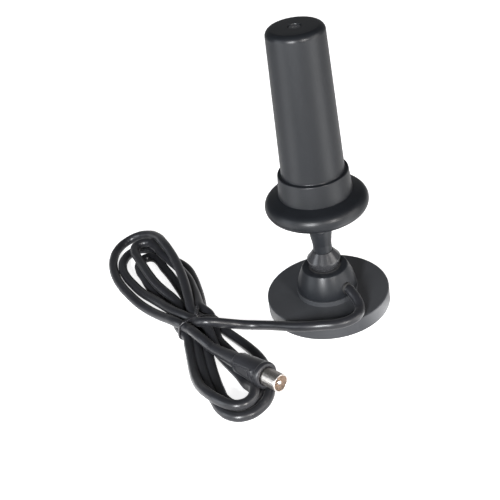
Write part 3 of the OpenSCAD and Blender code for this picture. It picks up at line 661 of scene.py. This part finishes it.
UPPER_MIDDLE = [
    (-78.8, -13.9, 3.8), (-81.8, -9.5, 4.4), (-83.6, -3.4, 5.6), (-86, 4, 6.6), (-90.6, 11.5, 7.4),
    (-96, 19, 7.8), (-101, 27, 7.8), (-106, 37, 7.8), (-110.8, 48, 7.8), (-115, 58, 7.8),
    (-117.8, 66, 7.8), (-117, 73, 7.8), (-110.6, 75, 7.8), (-104.8, 69.2, 7.8),
    (-100.4, 60.6, 7.8), (-95.2, 52.6, 7.4), (-90.3, 45.4, 7), (-85.5, 37, 6.9), (-81.6, 28.6, 7),
    (-78.7, 19, 7.2), (-76.6, 11, 7.6), (-74.8, 3, 8.2), (-73.4, -2.5, 8.8),
]
LOWER_INNER = [
    (-71, -6.3, 9), (-67.6, -11, 8.4), (-65.6, -16.6, 6), (-64.8, -21.5, 3.6), (-63.4, -26.4, 2.6),
    (-60.6, -31.6, 2.6), (-57.3, -37, 2.6), (-53.4, -43.3, 2.6), (-49.2, -50.7, 2.6),
    (-45.8, -57, 2.6), (-42.9, -63.9, 2.6), (-41, -70, 2.6), (-42, -76.4, 2.6), (-47, -81, 2.6),
    (-53.4, -81.2, 2.6), (-58.8, -76.4, 2.6), (-62, -68, 2.6), (-64.4, -59, 2.6),
    (-66.4, -50, 2.6), (-68.2, -40.5, 2.6), (-69.7, -30.5, 2.6), (-71.2, -20.5, 3),
]
UPPER_INNER = [
    (-74, -10.6, 3.8), (-76.8, -5.4, 3.6), (-78.8, 1, 2.9), (-81.4, 9, 2.6), (-85, 20, 2.6),
    (-89.4, 31, 2.6), (-94.2, 42, 2.6), (-99.2, 52, 2.6), (-102.6, 59.6, 2.6), (-106.4, 64.8, 2.6),
    (-111.4, 65.8, 2.6), (-115.2, 60.4, 2.6), (-114.4, 52, 2.6), (-111, 44, 2.6),
    (-107.5, 35, 2.6), (-103, 26, 2.6), (-98, 17.5, 2.6), (-93, 9, 2.6), (-89.6, 1, 2.6),
    (-87.6, -7, 3), (-85.4, -13.5, 3.6),
]
LOWER_TOP = [
    (-83, -18.2, 3.8), (-80.6, -23, 3.5), (-79.8, -29, 2.8), (-78.3, -38.5, 2.6), (-76.6, -49, 3),
    (-74.2, -60, 4.2), (-70.8, -69, 5.8), (-66, -76.8, 7.4), (-61, -82.5, 7.8),
    (-55.5, -86.5, 7.8), (-49.5, -87.6, 7.8), (-44.8, -84.4, 7.8), (-43.2, -78.5, 7.7),
    (-45.2, -71.6, 4.8), (-48.1, -65.6, 2.6), (-51.3, -58.8, 2.6), (-54.6, -53, 2.6),
    (-58.8, -45.8, 2.6), (-62.8, -38.6, 3), (-65.4, -33, 5.6), (-67.2, -27.5, 7.6),
    (-69.2, -21.5, 8.2), (-71.8, -15, 8.8),
]
UPPER_TOP = [
    (-75.6, -10.5, 9), (-78, -5.5, 9.4), (-79.6, 2.5, 10.2), (-81.6, 13, 11), (-84.4, 25, 11.8),
    (-88, 37.5, 12.4), (-92.4, 50, 12.9), (-97.6, 62, 13), (-103.4, 74.6, 11), (-110.6, 84, 8),
    (-118.6, 89, 5), (-126.2, 87.6, 3), (-131.2, 80.4, 2.6), (-133, 70, 2.6), (-132, 59, 2.6),
    (-129, 48, 2.6), (-124.2, 37, 2.6), (-118.4, 27, 2.6), (-112, 17.4, 2.6), (-105, 8.4, 3.2),
    (-98, -0.2, 4.8), (-92.2, -7.4, 6.8), (-87, -13.8, 8.4),
]
TAIL = [
    (-79.6, -20.6, 9), (-76.2, -26, 10.2), (-71.6, -32.8, 10.4),
]
HANK = (UPPER_OUTER + LOWER_OUTER + UPPER_MIDDLE + LOWER_INNER + UPPER_INNER + LOWER_TOP
        + UPPER_TOP)
HANK_CABLE = 5 * MM
EVEN_HANDLE = 2.5614

# Where the cable leaves the gland, its direction there, and its straight run at both ends
EXIT_TURN = radians(-49)
EXIT_ALONG = Vector((cos(EXIT_TURN), sin(EXIT_TURN), 0))
EXIT_AT = EXIT_ALONG * 16.81 * MM + Vector((0, 0, 16.8)) * MM
CABLE_STRAIGHT = 1.5 * MM

# Waist of the hank: where the tie sits, and its direction on the floor
WAIST_AT = Vector((-77, -12, 6.5)) * MM
WAIST_TURN = radians(-43)
WAIST_HALF = 10.5 * MM
TIE_SLANT = 0.6
TIE_STEPS = 120
TWIST_LENGTH = 9 * MM
TWIST_WIRE = 0.6 * MM

# Plug: its front face, its direction on the floor and its upward tilt
PLUG_AT = Vector((-36, -73, 12.6)) * MM
PLUG_TURN = radians(-48)
PLUG_LIFT = radians(5)
PLUG_ALONG = Vector((cos(PLUG_LIFT) * cos(PLUG_TURN), cos(PLUG_LIFT) * sin(PLUG_TURN),
                     sin(PLUG_LIFT)))
BOOT_END = PLUG_AT - 43 * MM * PLUG_ALONG
THUMB_MIDDLE = -15.4


def cable_line(width):
    """Points of the cable's centre line in metres, none of them below the cable's own height."""
    thicker = width / HANK_CABLE
    line = [EXIT_AT, EXIT_AT + CABLE_STRAIGHT * EXIT_ALONG]
    line += [Vector(p) * MM for p in LEAD]
    line += [Vector((x, y, z * thicker)) * MM for x, y, z in HANK]
    line += [Vector(p) * MM for p in TAIL]
    line += [BOOT_END - CABLE_STRAIGHT * PLUG_ALONG, BOOT_END]
    for p in line:
        p.z = max(p.z, width / 2 + 0.02 * MM)
    return line


def cable_handles(points, floor):
    """Left and right handles of an even curve through the points, none of them below floor."""
    pairs = []
    for i, here in enumerate(points):
        before = points[i - 1] if i else 2 * here - points[1]
        after = points[i + 1] if i + 1 < len(points) else 2 * here - points[i - 1]
        back, ahead = here - before, after - here
        lean = ahead.normalized() + back.normalized()
        share_of = lean.length * EVEN_HANDLE
        left = here - lean * (back.length / share_of)
        right = here + lean * (ahead.length / share_of)
        left.z, right.z = max(left.z, floor), max(right.z, floor)
        pairs.append((left, right))
    return pairs


def plug_frame():
    """Matrix that carries a piece along +Z onto the plug's axis."""
    turn = Matrix.Rotation(PLUG_TURN, 4, "Z") @ Matrix.Rotation(pi / 2 - PLUG_LIFT, 4, "Y")
    return Matrix.Translation(PLUG_AT) @ turn


class ANTENNA_OT_cable(bpy.types.Operator):
    """Lay the cable from the gland through the hank's loops to the plug"""

    bl_idname = "antenna.cable"
    bl_label = "Cable"

    def execute(self, context):
        width = context.scene.antenna_cable.diameter
        points = cable_line(width)
        data = bpy.data.curves.new("cable", "CURVE")
        data.dimensions = "3D"
        data.resolution_u = 8
        data.bevel_depth = width / 2
        data.bevel_resolution = 5
        data.use_fill_caps = True
        spline = data.splines.new("BEZIER")
        spline.bezier_points.add(len(points) - 1)
        for knot, place, pair in zip(spline.bezier_points, points,
                                     cable_handles(points, width / 2)):
            knot.handle_left_type = "FREE"
            knot.handle_right_type = "FREE"
            knot.co = place
            knot.handle_left, knot.handle_right = pair
        data.materials.append(finish("cable_jacket"))
        cable = empty_object("cable", data)
        hand_over(cable, "base", "cable_jacket", "cord_lead", "cord_hank_upper",
                  "cord_hank_waist", "cord_hank_lower", "cord_tail")
        return {"FINISHED"}


class ANTENNA_OT_cable_facts(bpy.types.Operator):
    bl_idname = "antenna.cable_facts"
    bl_label = "Cable Facts"

    def execute(self, context):
        return {"FINISHED"}


def loft(rings):
    """Points and faces of a loft through rings of equal count, open at its ends."""
    sides = len(rings[0])
    verts = [p for ring in rings for p in ring]
    faces = []
    for i in range(len(rings) - 1):
        for k in range(sides):
            a, b = i * sides + k, i * sides + (k + 1) % sides
            faces.append((a, b, b + sides, a + sides))
    return verts, faces


def capped(rings):
    """A loft through rings, with a flat face at each end."""
    verts, faces = loft(rings)
    sides = len(rings[0])
    faces += [tuple(range(sides)), tuple(range(len(verts) - sides, len(verts)))]
    return verts, faces


def joined(parts):
    """Points and faces of several meshes as one."""
    verts, faces = [], []
    for more, walls in parts:
        first = len(verts)
        verts += more
        faces += [tuple(i + first for i in face) for face in walls]
    return verts, faces


def tube_mesh(path, radius, sides=10):
    """Points and faces of a closed tube along a path, a little narrower at its ends."""
    rings = []
    for i, here in enumerate(path):
        run = (path[min(i + 1, len(path) - 1)] - path[max(i - 1, 0)]).normalized()
        side = run.cross(Vector((0, 0, 1))).normalized()
        up = side.cross(run)
        wide = radius * (0.55 if i in (0, len(path) - 1) else 1.0)
        rings.append([here + wide * (side * cos(tau * k / sides) + up * sin(tau * k / sides))
                      for k in range(sides)])
    return capped(rings)


def outline_of(points):
    """Convex outline of flat points, anticlockwise."""
    points = sorted(points)

    def half(line):
        out = []
        for p in line:
            while len(out) > 1 and ((out[-1][0] - out[-2][0]) * (p[1] - out[-2][1])
                                    - (out[-1][1] - out[-2][1]) * (p[0] - out[-2][0])) <= 0:
                out.pop()
            out.append(p)
        return out[:-1]

    return half(points) + half(points[::-1])


def even_loop(points, count):
    """Points at equal steps round a closed outline."""
    closed = points + [points[0]]
    steps = [(b - a).length for a, b in zip(closed, closed[1:])]
    total, out = sum(steps), []
    for k in range(count):
        want, i = total * k / count, 0
        while want > steps[i]:
            want -= steps[i]
            i += 1
        out.append(closed[i].lerp(closed[i + 1], want / steps[i]))
    return out


class ANTENNA_OT_tie(bpy.types.Operator):
    """Wrap the tie closely round the strands in the hank's waist and twist its ends"""

    bl_idname = "antenna.tie"
    bl_label = "Cable Tie"

    def execute(self, context):
        sizes = context.scene.antenna_cable
        along = Vector((cos(WAIST_TURN), sin(WAIST_TURN), 0))
        across = Vector((-along.y, along.x, 0))
        start = WAIST_AT - across * WAIST_HALF
        run = (across + along * TIE_SLANT).normalized()
        facing = run.cross(Vector((0, 0, 1)))
        grow = sizes.diameter / 2 + sizes.band_thickness / 2
        ring = []
        line = cable_line(sizes.diameter)
        for a, b in zip(line, line[1:]):
            da, db = (a - start).dot(facing), (b - start).dot(facing)
            if da * db > 0 or da == db:
                continue
            p = a.lerp(b, da / (da - db))
            u = (p - start).dot(run)
            if not -4 * MM < u < 32 * MM:
                continue
            for k in range(24):
                turn = tau * k / 24
                ring.append((u + grow * cos(turn), p.z + grow * sin(turn)))
        loop = even_loop([Vector(p) for p in outline_of(ring)], TIE_STEPS)
        for _ in range(6):
            loop = [(loop[i - 1] + p * 2 + loop[(i + 1) % TIE_STEPS]) / 4
                    for i, p in enumerate(loop)]
        low = sizes.band_thickness / 2 + 0.03 * MM
        path = [start + run * u + Vector((0, 0, max(z, low) - start.z)) for u, z in loop]
        mesh = bpy.data.meshes.new("tie_band")
        count = len(path)
        mesh.from_pydata([tuple(p) for p in path], [(i, (i + 1) % count) for i in range(count)], [])
        band = empty_object("tie_band", mesh)
        tree = named_tree("strap_along_path", build_strap)
        tree.apply(band, {"Width": sizes.band_width, "Thickness": sizes.band_thickness,
                          "Material": finish("tie_plastic")})
        tidy(band.data)
        hand_over(band, "base", "tie_plastic", "cord_tie")
        top = max(path, key=lambda p: p.z - abs((p - start).dot(run) - 15 * MM) * 0.05)
        heading = (across * 0.75 - along * 0.65).normalized()
        aside = heading.cross(Vector((0, 0, 1)))
        ends = []
        for side in (0, pi):
            line = []
            for k in range(49):
                gone = TWIST_LENGTH * k / 48
                a = side + tau * gone / sizes.twist_pitch
                line.append(top + heading * gone + aside * TWIST_WIRE * cos(a)
                            + Vector((0, 0, 0.5 * MM + TWIST_WIRE * sin(a) - 0.10 * gone)))
            ends.append(tube_mesh(line, TWIST_WIRE))
        twist = mesh_object("tie_twist", *joined(ends), "tie_plastic")
        hand_over(twist, "base", "tie_plastic")
        return {"FINISHED"}


class ANTENNA_OT_plug(bpy.types.Operator):
    """Model the plug's moulded grip, its tapered boot and its fluted metal sleeve"""

    bl_idname = "antenna.plug"
    bl_label = "Plug"

    def execute(self, context):
        sizes = context.scene.antenna_cable
        r = sizes.plug_diameter / 2 / MM
        place = plug_frame()
        # Station along the axis, radius, and how far the flats cut in from the sides
        stations = [
            (-23, 0.0, 9.0), (-23, 3.9, 9.0), (-22.8, 4.6, 9.0), (-22.4, 4.95, 9.0),
            (-22, 5.1, 4.7), (-20, 5.35, 4.7), (-17, 5.7, 4.7), (-14, 6.0, 4.75), (-11, 6.3, 4.8),
            (-8.2, 6.5, 4.85), (-7.4, 6.55, 4.95), (-6.8, 6.58, 5.3), (-6.3, 6.6, 5.9),
            (-5.9, 6.62, 6.5), (-5.5, 6.64, 9.0),
            (-4.2, 6.66, 9.0), (-3.5, 6.68, 9.0), (-3.15, 6.75, 9.0), (-2.95, r - 0.25, 9.0),
            (-2.6, r - 0.05, 9.0), (-2.2, r, 9.0), (-1.3, r, 9.0), (-0.7, r - 0.15, 9.0),
            (-0.25, r - 0.5, 9.0), (0.0, r - 1.1, 9.0), (0.0, 5.4, 9.0), (-0.15, 5.0, 9.0),
            (-0.6, 4.85, 9.0), (-8.0, 4.7, 9.0), (-8.0, 0.0, 9.0),
        ]
        rings = []
        for z, radius, flat in stations:
            edge = asin(min(flat, 0.76 * radius) / radius) if radius else 0.8
            if flat > radius:
                edge = asin(0.76)
            ring = []
            for quarter in range(4):
                span = (-edge, edge) if quarter % 2 == 0 else (edge, pi - edge)
                for k in range(24):
                    a = span[0] + (span[1] - span[0]) * k / 24
                    y = radius * sin(a)
                    if quarter % 2 and flat < radius:
                        y = flat
                        a = acos(cos(edge) * (1 - 2 * k / 24))
                    x = radius * cos(a)
                    if quarter > 1:
                        x, y = -x, -y
                    ring.append(place @ (Vector((x, y, z)) * MM))
            rings.append(ring)
        grip = mesh_object("plug_grip", *loft(rings), "plug_rubber")
        hand_over(grip, "base", "rubber", "plug_body")
        # Raised frame round the thumb rest on each flat
        depth = sizes.grip_depth / MM
        frames = []
        for side in (-1, 1):
            outline = []
            for k in range(48):
                a = tau * k / 48
                x = 2.7 * (abs(cos(a)) ** 0.35) * (1 if cos(a) > 0 else -1)
                z = THUMB_MIDDLE + 5.4 * (abs(sin(a)) ** 0.35) * (1 if sin(a) > 0 else -1)
                outline.append((x * (1.0 + 0.03 * (z - THUMB_MIDDLE)), z))
            rings = []
            for grow, rise in ((1.06, -0.2), (1.05, depth * 0.7), (1.0, depth),
                               (0.92, depth * 0.7), (0.91, -0.2)):
                y = side * (4.76 + rise)
                rings.append([place @ (Vector((x * grow, y, THUMB_MIDDLE
                                               + (z - THUMB_MIDDLE) * grow)) * MM)
                              for x, z in outline])
            frames.append(loft(rings + rings[:1]))
        rest = mesh_object("plug_thumb_frames", *joined(frames), "plug_rubber")
        hand_over(rest, "base", "rubber")
        boot_line = rounded([(0, -23.02, 0), (4.4, -23.02, 0.3), (4.1, -26.5, 0), (3.75, -31, 0),
                             (3.35, -36, 0), (3.1, -40, 0), (3.0, -43, 0.35), (2.52, -43, 0),
                             (0, -42.6, 0)])
        boot = turned("plug_boot", boot_line, "plug_rubber")
        boot.data.transform(place)
        hand_over(boot, "base", "rubber", "plug_relief")
        # Sleeve: flutes along the outside, a rolled rim and the bore
        sides = sizes.flutes * 8
        outer = 4.75
        bore = 4.12
        line = [(-8, bore, 0), (-8, 4.5, 0), (0.05, 4.55, 0), (0.1, outer - 0.12, 0),
                (0.6, outer - 0.05, 0.0), (1.2, outer - 0.03, 1.0), (8.2, outer - 0.03, 1.0),
                (8.8, outer - 0.02, 0.0), (9.7, outer, 0), (10.2, outer - 0.03, 0),
                (10.42, outer - 0.14, 0), (10.5, outer - 0.32, 0), (10.42, bore + 0.12, 0),
                (10.2, bore + 0.02, 0), (9.8, bore, 0), (-8, bore, 0)]
        rings = []
        for z, radius, fluted in line:
            ring = []
            for k in range(sides):
                a = tau * k / sides
                dip = 0.10 * fluted if k % 8 == 0 else 0.03 * fluted if k % 8 in (1, 7) else 0
                ring.append(place @ (Vector(((radius - dip) * cos(a), (radius - dip) * sin(a), z))
                                     * MM))
            rings.append(ring)
        sleeve = mesh_object("plug_contact", *loft(rings), "nickel")
        hand_over(sleeve, "base", "nickel", "plug_sleeve")
        return {"FINISHED"}


# ---- Mouldings ----


class ANTENNA_OT_mouldings(bpy.types.Operator):
    """Turn the radome and its collar with their rounded edges"""

    bl_idname = "antenna.mouldings"
    bl_label = "Radome and Collar"

    def execute(self, context):
        sizes = context.scene.antenna_moulding
        low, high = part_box("radome")
        foot, top = low.z / MM, high.z / MM
        collar_low, collar_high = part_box("collar")
        rim = collar_high.z / MM
        seat = collar_low.z / MM
        wide = sizes.radome_foot / MM
        narrow = sizes.radome_top / MM
        edge = sizes.radome_edge / MM
        outer = [(15.3, foot, 0), (18.5, foot, 0.3), (18.5, foot + 1.85, 0.3),
                 (wide + 0.7, foot + 1.85, 0.1), (wide + 0.7, rim - 0.1, 0.15)]
        outer += arc_points(wide + 0.8, rim + 0.7, 0.8, 250, 180, 6)
        outer += [(wide - (wide - narrow) * k / 12, rim + 0.8 + (top - edge - rim - 0.8) * k / 12, 0)
                  for k in range(1, 12)]
        outer += arc_points(narrow - edge, top - edge, edge, 0, 90, 14)
        outer += [(7.2, top, 0), (3.9, top, 0), (3.5, top, 0.15), (3.3, top - 1.0, 0.1),
                  (1.6, top - 1.0, 0.1), (1.6, top - 2, 0), (11.6, top - 2, 0.6),
                  (13, top - 4, 0.6), (15.3, rim, 0)]
        radome = turned("radome_shell", rounded(outer), "radome_plastic")
        hand_over(radome, "head", "radome_plastic", "radome")
        collar_foot = sizes.collar_foot / MM
        collar_top = sizes.collar_top / MM
        bend = sizes.collar_edge / MM
        ring = [(18.6, seat, 0), (collar_foot, seat, 0.08)]
        ring += arc_points(collar_top - bend, rim - bend, bend, 5, 90, 8)
        ring += [(wide + 0.8, rim, 0.12), (wide + 0.8, seat + 2.5, 0), (18.6, seat + 2.5, 0)]
        collar = turned("collar_shell", rounded(ring), "black_plastic")
        hand_over(collar, "head", "black_plastic", "collar")
        domes = []
        for x in (-0.8, 0.8):
            rings = []
            for lift in range(6):
                a = pi / 2 * lift / 5
                size = 0.34 * cos(a)
                rings.append([Vector((x + size * cos(tau * k / 16), size * sin(tau * k / 16),
                                      top - 0.62 + 0.30 * sin(a))) * MM for k in range(16)])
            verts, walls = loft(rings)
            domes.append((verts, walls + [tuple(range(16))]))
        dots = mesh_object("cap_rivets", *joined(domes), "nickel")
        hand_over(dots, "head", "nickel")
        return {"FINISHED"}


class ANTENNA_OT_screws(bpy.types.Operator):
    """Set the screws on their circles, each with its head, round recess and thread"""

    bl_idname = "antenna.screws"
    bl_label = "Screws"

    def screw(self, name, shank, head, rise, run, down):
        """One screw with its head's underside at the origin."""
        sizes = bpy.context.scene.antenna_fixing
        pitch = sizes.thread_pitch / MM
        line = [(0, -rise * 0.45), (head * 0.14, -rise * 0.45), (head * 0.2, -rise),
                (head * 0.36, -rise * 0.98), (head * 0.45, -rise * 0.82),
                (head / 2, -rise * 0.5), (head / 2, 0), (shank / 2, 0)]
        turns = int((run - 0.8) / pitch)
        for k in range(turns):
            z = 0.3 + k * pitch
            line += [(shank / 2 - 0.16, z), (shank / 2 - 0.16, z + pitch * 0.35),
                     (shank / 2, z + pitch * 0.65)]
        line += [(shank / 2 - 0.16, run - 0.4), (shank / 4, run), (0, run)]
        around = [tau * k / 24 for k in range(24)]
        verts, faces = capped([[Vector((x * cos(a), x * sin(a), z * down)) * MM for a in around]
                               for x, z in line])
        mesh = bpy.data.meshes.new(name)
        mesh.from_pydata([tuple(v) for v in verts], [], faces)
        tidy(mesh)
        return empty_object(name, mesh)

    def execute(self, context):
        tree = named_tree("ring_of_copies", build_ring_of)
        low_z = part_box("base_screws")[0].z
        stand_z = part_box("pedestal_screws")[0].z
        head_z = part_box("head_screws")[0].z
        board_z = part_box("board_screws")[1].z
        # Name and shape (shank, head, rise, run, way), circle (count, radius, height, first angle),
        # and finish, body and packed node
        for shape, (count, radius, height, first), (coat, body, old) in (
            (("screws_base", 2.2, 4.2, 0.8, 4.8, 1), (4, 27.7, low_z + 0.8 * MM, 45),
             ("zinc_steel", "base", "base_screws")),
            (("screws_pedestal", 2.2, 4.2, 1.4, 9.1, 1), (3, 11.4, stand_z + 1.4 * MM, 11),
             ("zinc_steel", "base", "pedestal_screws")),
            (("screws_head", 2.2, 3.8, 1.3, 5.6, 1), (4, 22.0, head_z + 1.3 * MM, 0),
             ("dark_screw", "head", "head_screws")),
            (("screws_board", 1.8, 3.6, 1.2, 5.8, -1), (3, 13.6, board_z - 1.2 * MM, 60),
             ("zinc_steel", "head", "board_screws")),
        ):
            obj = self.screw(*shape)
            tree.apply(obj, {"Count": count, "Radius": radius * MM, "Height": height,
                             "First Angle": radians(first), "Material": finish(coat)})
            hand_over(obj, body, coat, old)
        return {"FINISHED"}


class ANTENNA_OT_board_parts(bpy.types.Operator):
    """Scatter the smallest parts over the free band of the amplifier board"""

    bl_idname = "antenna.board_parts"
    bl_label = "Board Parts"

    def execute(self, context):
        sizes = context.scene.antenna_fixing
        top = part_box("amplifier_board")[1].z
        work = bmesh.new()
        for x0, x1, y0, y1 in ((-11.5, -8.5, -6, 4), (8.5, 11.5, -6, 4), (-7, -2, 10.5, 13.5),
                               (2, 7, 10.5, 13.5), (-2.5, 2.5, -7.6, -4.4)):
            ring = [work.verts.new((x * MM, y * MM, top + 0.01 * MM))
                    for x, y in ((x0, y0), (x1, y0), (x1, y1), (x0, y1))]
            work.faces.new(ring)
        mesh = bpy.data.meshes.new("board_chips")
        work.to_mesh(mesh)
        work.free()
        obj = empty_object("board_chips", mesh)
        tree = named_tree("scattered_chips", build_chips)
        tree.apply(obj, {"Size": sizes.chip_size, "Seed": 7, "Material": finish("chip")})
        hand_over(obj, "head", "chip")
        return {"FINISHED"}


# ---- Finishes on the packed nodes ----


class ANTENNA_OT_finishes(bpy.types.Operator):
    """Give every packed node its finish"""

    bl_idname = "antenna.finishes"
    bl_label = "Finishes"

    def execute(self, context):
        special = {"base_housing": "gloss_plastic", "pedestal": "grey_plastic"}
        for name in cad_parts:
            obj = bpy.data.objects[name]
            for place in obj.material_slots:
                slot = special.get(name, place.material.name.split(".")[0])
                place.material = finish(slot)
        return {"FINISHED"}


# ---- Stage ----


def panel_light(name, at, aim, size, power, colour):
    """A soft rectangular light that faces a point."""
    data = bpy.data.lights.new(name, "AREA")
    data.shape = "RECTANGLE"
    data.size, data.size_y = size
    data.energy = power
    data.color = colour
    made = empty_object(name, data)
    made.location = at
    made.rotation_euler = (Vector(aim) - Vector(at)).to_track_quat("-Z", "Y").to_euler()
    return made


def surroundings(strength):
    """Bright near the horizon, less so at the sides, and dark overhead."""
    world = bpy.data.worlds.new("soft_studio")
    bpy.context.scene.world = world
    world.use_nodes = True
    parts = node(world, "ShaderNodeSeparateXYZ")
    wire(world, node(world, "ShaderNodeTexCoord").outputs["Generated"], parts.inputs[0])
    fade = ramp(world, parts.outputs["Z"], 0.12, 0.62, strength, 0.05, "SMOOTHSTEP")
    aside = reckon(world, "ABSOLUTE", parts.outputs["X"])
    sides = ramp(world, aside, 0.15, 0.85, 1.0, 0.45, "SMOOTHSTEP")
    glow = by_view(world, reckon(world, "MULTIPLY", fade, sides), 1.0)
    shader = world.node_tree.nodes["Background"]
    wire(world, glow, shader.inputs["Strength"])
    shader.inputs["Color"].default_value = (0.97, 0.98, 1.0, 1.0)


def pools(mat, point, stage):
    """Glow of the floor: even where it is seen; in reflections, bright to both front sides."""
    parts = node(mat, "ShaderNodeSeparateXYZ")
    wire(mat, point, parts.inputs[0])
    ahead = reckon(mat, "MULTIPLY", parts.outputs["Y"], -1.0)
    turn = reckon(mat, "ARCTAN2", parts.outputs["X"], ahead)
    total = stage.glow_ahead
    for middle, half, gain in ((-64, 32, stage.pool_left), (58, 32, stage.pool_right)):
        off = reckon(mat, "ABSOLUTE", reckon(mat, "SUBTRACT", turn, radians(middle)))
        fall = ramp(mat, off, 0.0, radians(half), gain, 0.0, "SMOOTHERSTEP")
        total = reckon(mat, "ADD", fall, total)
    return by_view(mat, total, stage.glow)


class ANTENNA_OT_stage(bpy.types.Operator):
    """Set the floor, the lights and the camera"""

    bl_idname = "antenna.stage"
    bl_label = "Stage"

    def execute(self, context):
        stage = context.scene.antenna_stage
        # Floor
        mat, shader, point = bare("pale_floor", stage.floor, 0.9)
        vary_colour(mat, shader, speckle(mat, point, 60 * MM), scaled(stage.floor, 0.995),
                    stage.floor)
        shader.inputs["Specular IOR Level"].default_value = 0.1
        shader.inputs["Emission Color"].default_value = (1.0, 1.0, 1.0, 1.0)
        wire(mat, pools(mat, point, stage), shader.inputs["Emission Strength"])
        work = bmesh.new()
        bmesh.ops.create_circle(work, cap_ends=True, segments=96, radius=6.0)
        mesh = bpy.data.meshes.new("floor")
        work.to_mesh(mesh)
        work.free()
        mesh.materials.append(mat)
        floor = empty_object("floor", mesh)
        # Lights
        panel_light("panel_left", (-0.95, -0.35, 0.34), (0, 0, 0.08), (0.5, 0.7), stage.sides,
                    (0.90, 0.95, 1.0))
        panel_light("panel_right", (0.95, -0.28, 0.34), (0, 0, 0.08), (0.6, 0.7),
                    stage.sides * 1.15, (1.0, 0.97, 0.95))
        panel_light("panel_front", (-0.32, -0.95, 0.42), (0, 0, 0.07), (0.16, 0.30), stage.front,
                    (0.97, 0.98, 1.0))
        panel_light("panel_warm", (0.50, -0.85, 0.46), (0, 0, 0.07), (0.20, 0.30),
                    stage.front * 0.45, (1.0, 0.97, 0.94))
        surroundings(stage.sky)
        # Camera
        data = bpy.data.cameras.new("camera")
        data.lens = stage.lens
        data.sensor_width = 36.0
        data.clip_start = 0.01
        data.clip_end = 50.0
        camera = empty_object("camera", data)
        at = Vector((0.0, -454.4, 338.4)) * MM
        ahead = (Vector((-39.8, 0.0, 42.0)) * MM - at).normalized()
        level = ahead.cross(Vector((0, 0, 1))).normalized()
        upright = level.cross(ahead)
        roll = radians(-9.99)
        across = level * cos(roll) + upright * sin(roll)
        up = upright * cos(roll) - level * sin(roll)
        grid = Matrix((across, up, -ahead)).transposed().to_4x4()
        camera.matrix_world = Matrix.Translation(at) @ grid
        context.scene.camera = camera
        context.scene.view_settings.view_transform = "Standard"
        return {"FINISHED"}


# ---- Panel and registration ----

OPERATORS = (
    ANTENNA_OT_stage,
    ANTENNA_OT_cable,
    ANTENNA_OT_tie,
    ANTENNA_OT_plug,
    ANTENNA_OT_cable_facts,
    ANTENNA_OT_mouldings,
    ANTENNA_OT_screws,
    ANTENNA_OT_board_parts,
    ANTENNA_OT_finishes,
)

GROUPS = {
    "antenna_cable": CableSettings,
    "antenna_moulding": MouldingSettings,
    "antenna_fixing": FixingSettings,
    "antenna_finish": FinishSettings,
    "antenna_stage": StageSettings,
}


class ANTENNA_PT_panel(bpy.types.Panel):
    """Settings and steps of the stick antenna"""

    bl_idname = "ANTENNA_PT_panel"
    bl_label = "Stick Antenna"
    bl_space_type = "VIEW_3D"
    bl_region_type = "UI"
    bl_category = "Antenna"

    def draw(self, context):
        for name, group in GROUPS.items():
            box = self.layout.box()
            box.label(text=group.__doc__.rstrip("."))
            for key in group.__annotations__:
                box.prop(getattr(context.scene, name), key)
        for operator in OPERATORS:
            self.layout.operator(operator.bl_idname)


def register():
    for group in GROUPS.values():
        bpy.utils.register_class(group)
    for name, group in GROUPS.items():
        setattr(bpy.types.Scene, name, bpy.props.PointerProperty(type=group))
    for operator in OPERATORS:
        bpy.utils.register_class(operator)
    bpy.utils.register_class(ANTENNA_PT_panel)


def unregister():
    bpy.utils.unregister_class(ANTENNA_PT_panel)
    for operator in reversed(OPERATORS):
        bpy.utils.unregister_class(operator)
    for name, group in GROUPS.items():
        delattr(bpy.types.Scene, name)
        bpy.utils.unregister_class(group)


def main():
    register()
    for operator in OPERATORS:
        area, call = operator.bl_idname.split(".")
        getattr(getattr(bpy.ops, area), call)()


if __name__ == "__main__":
    main()
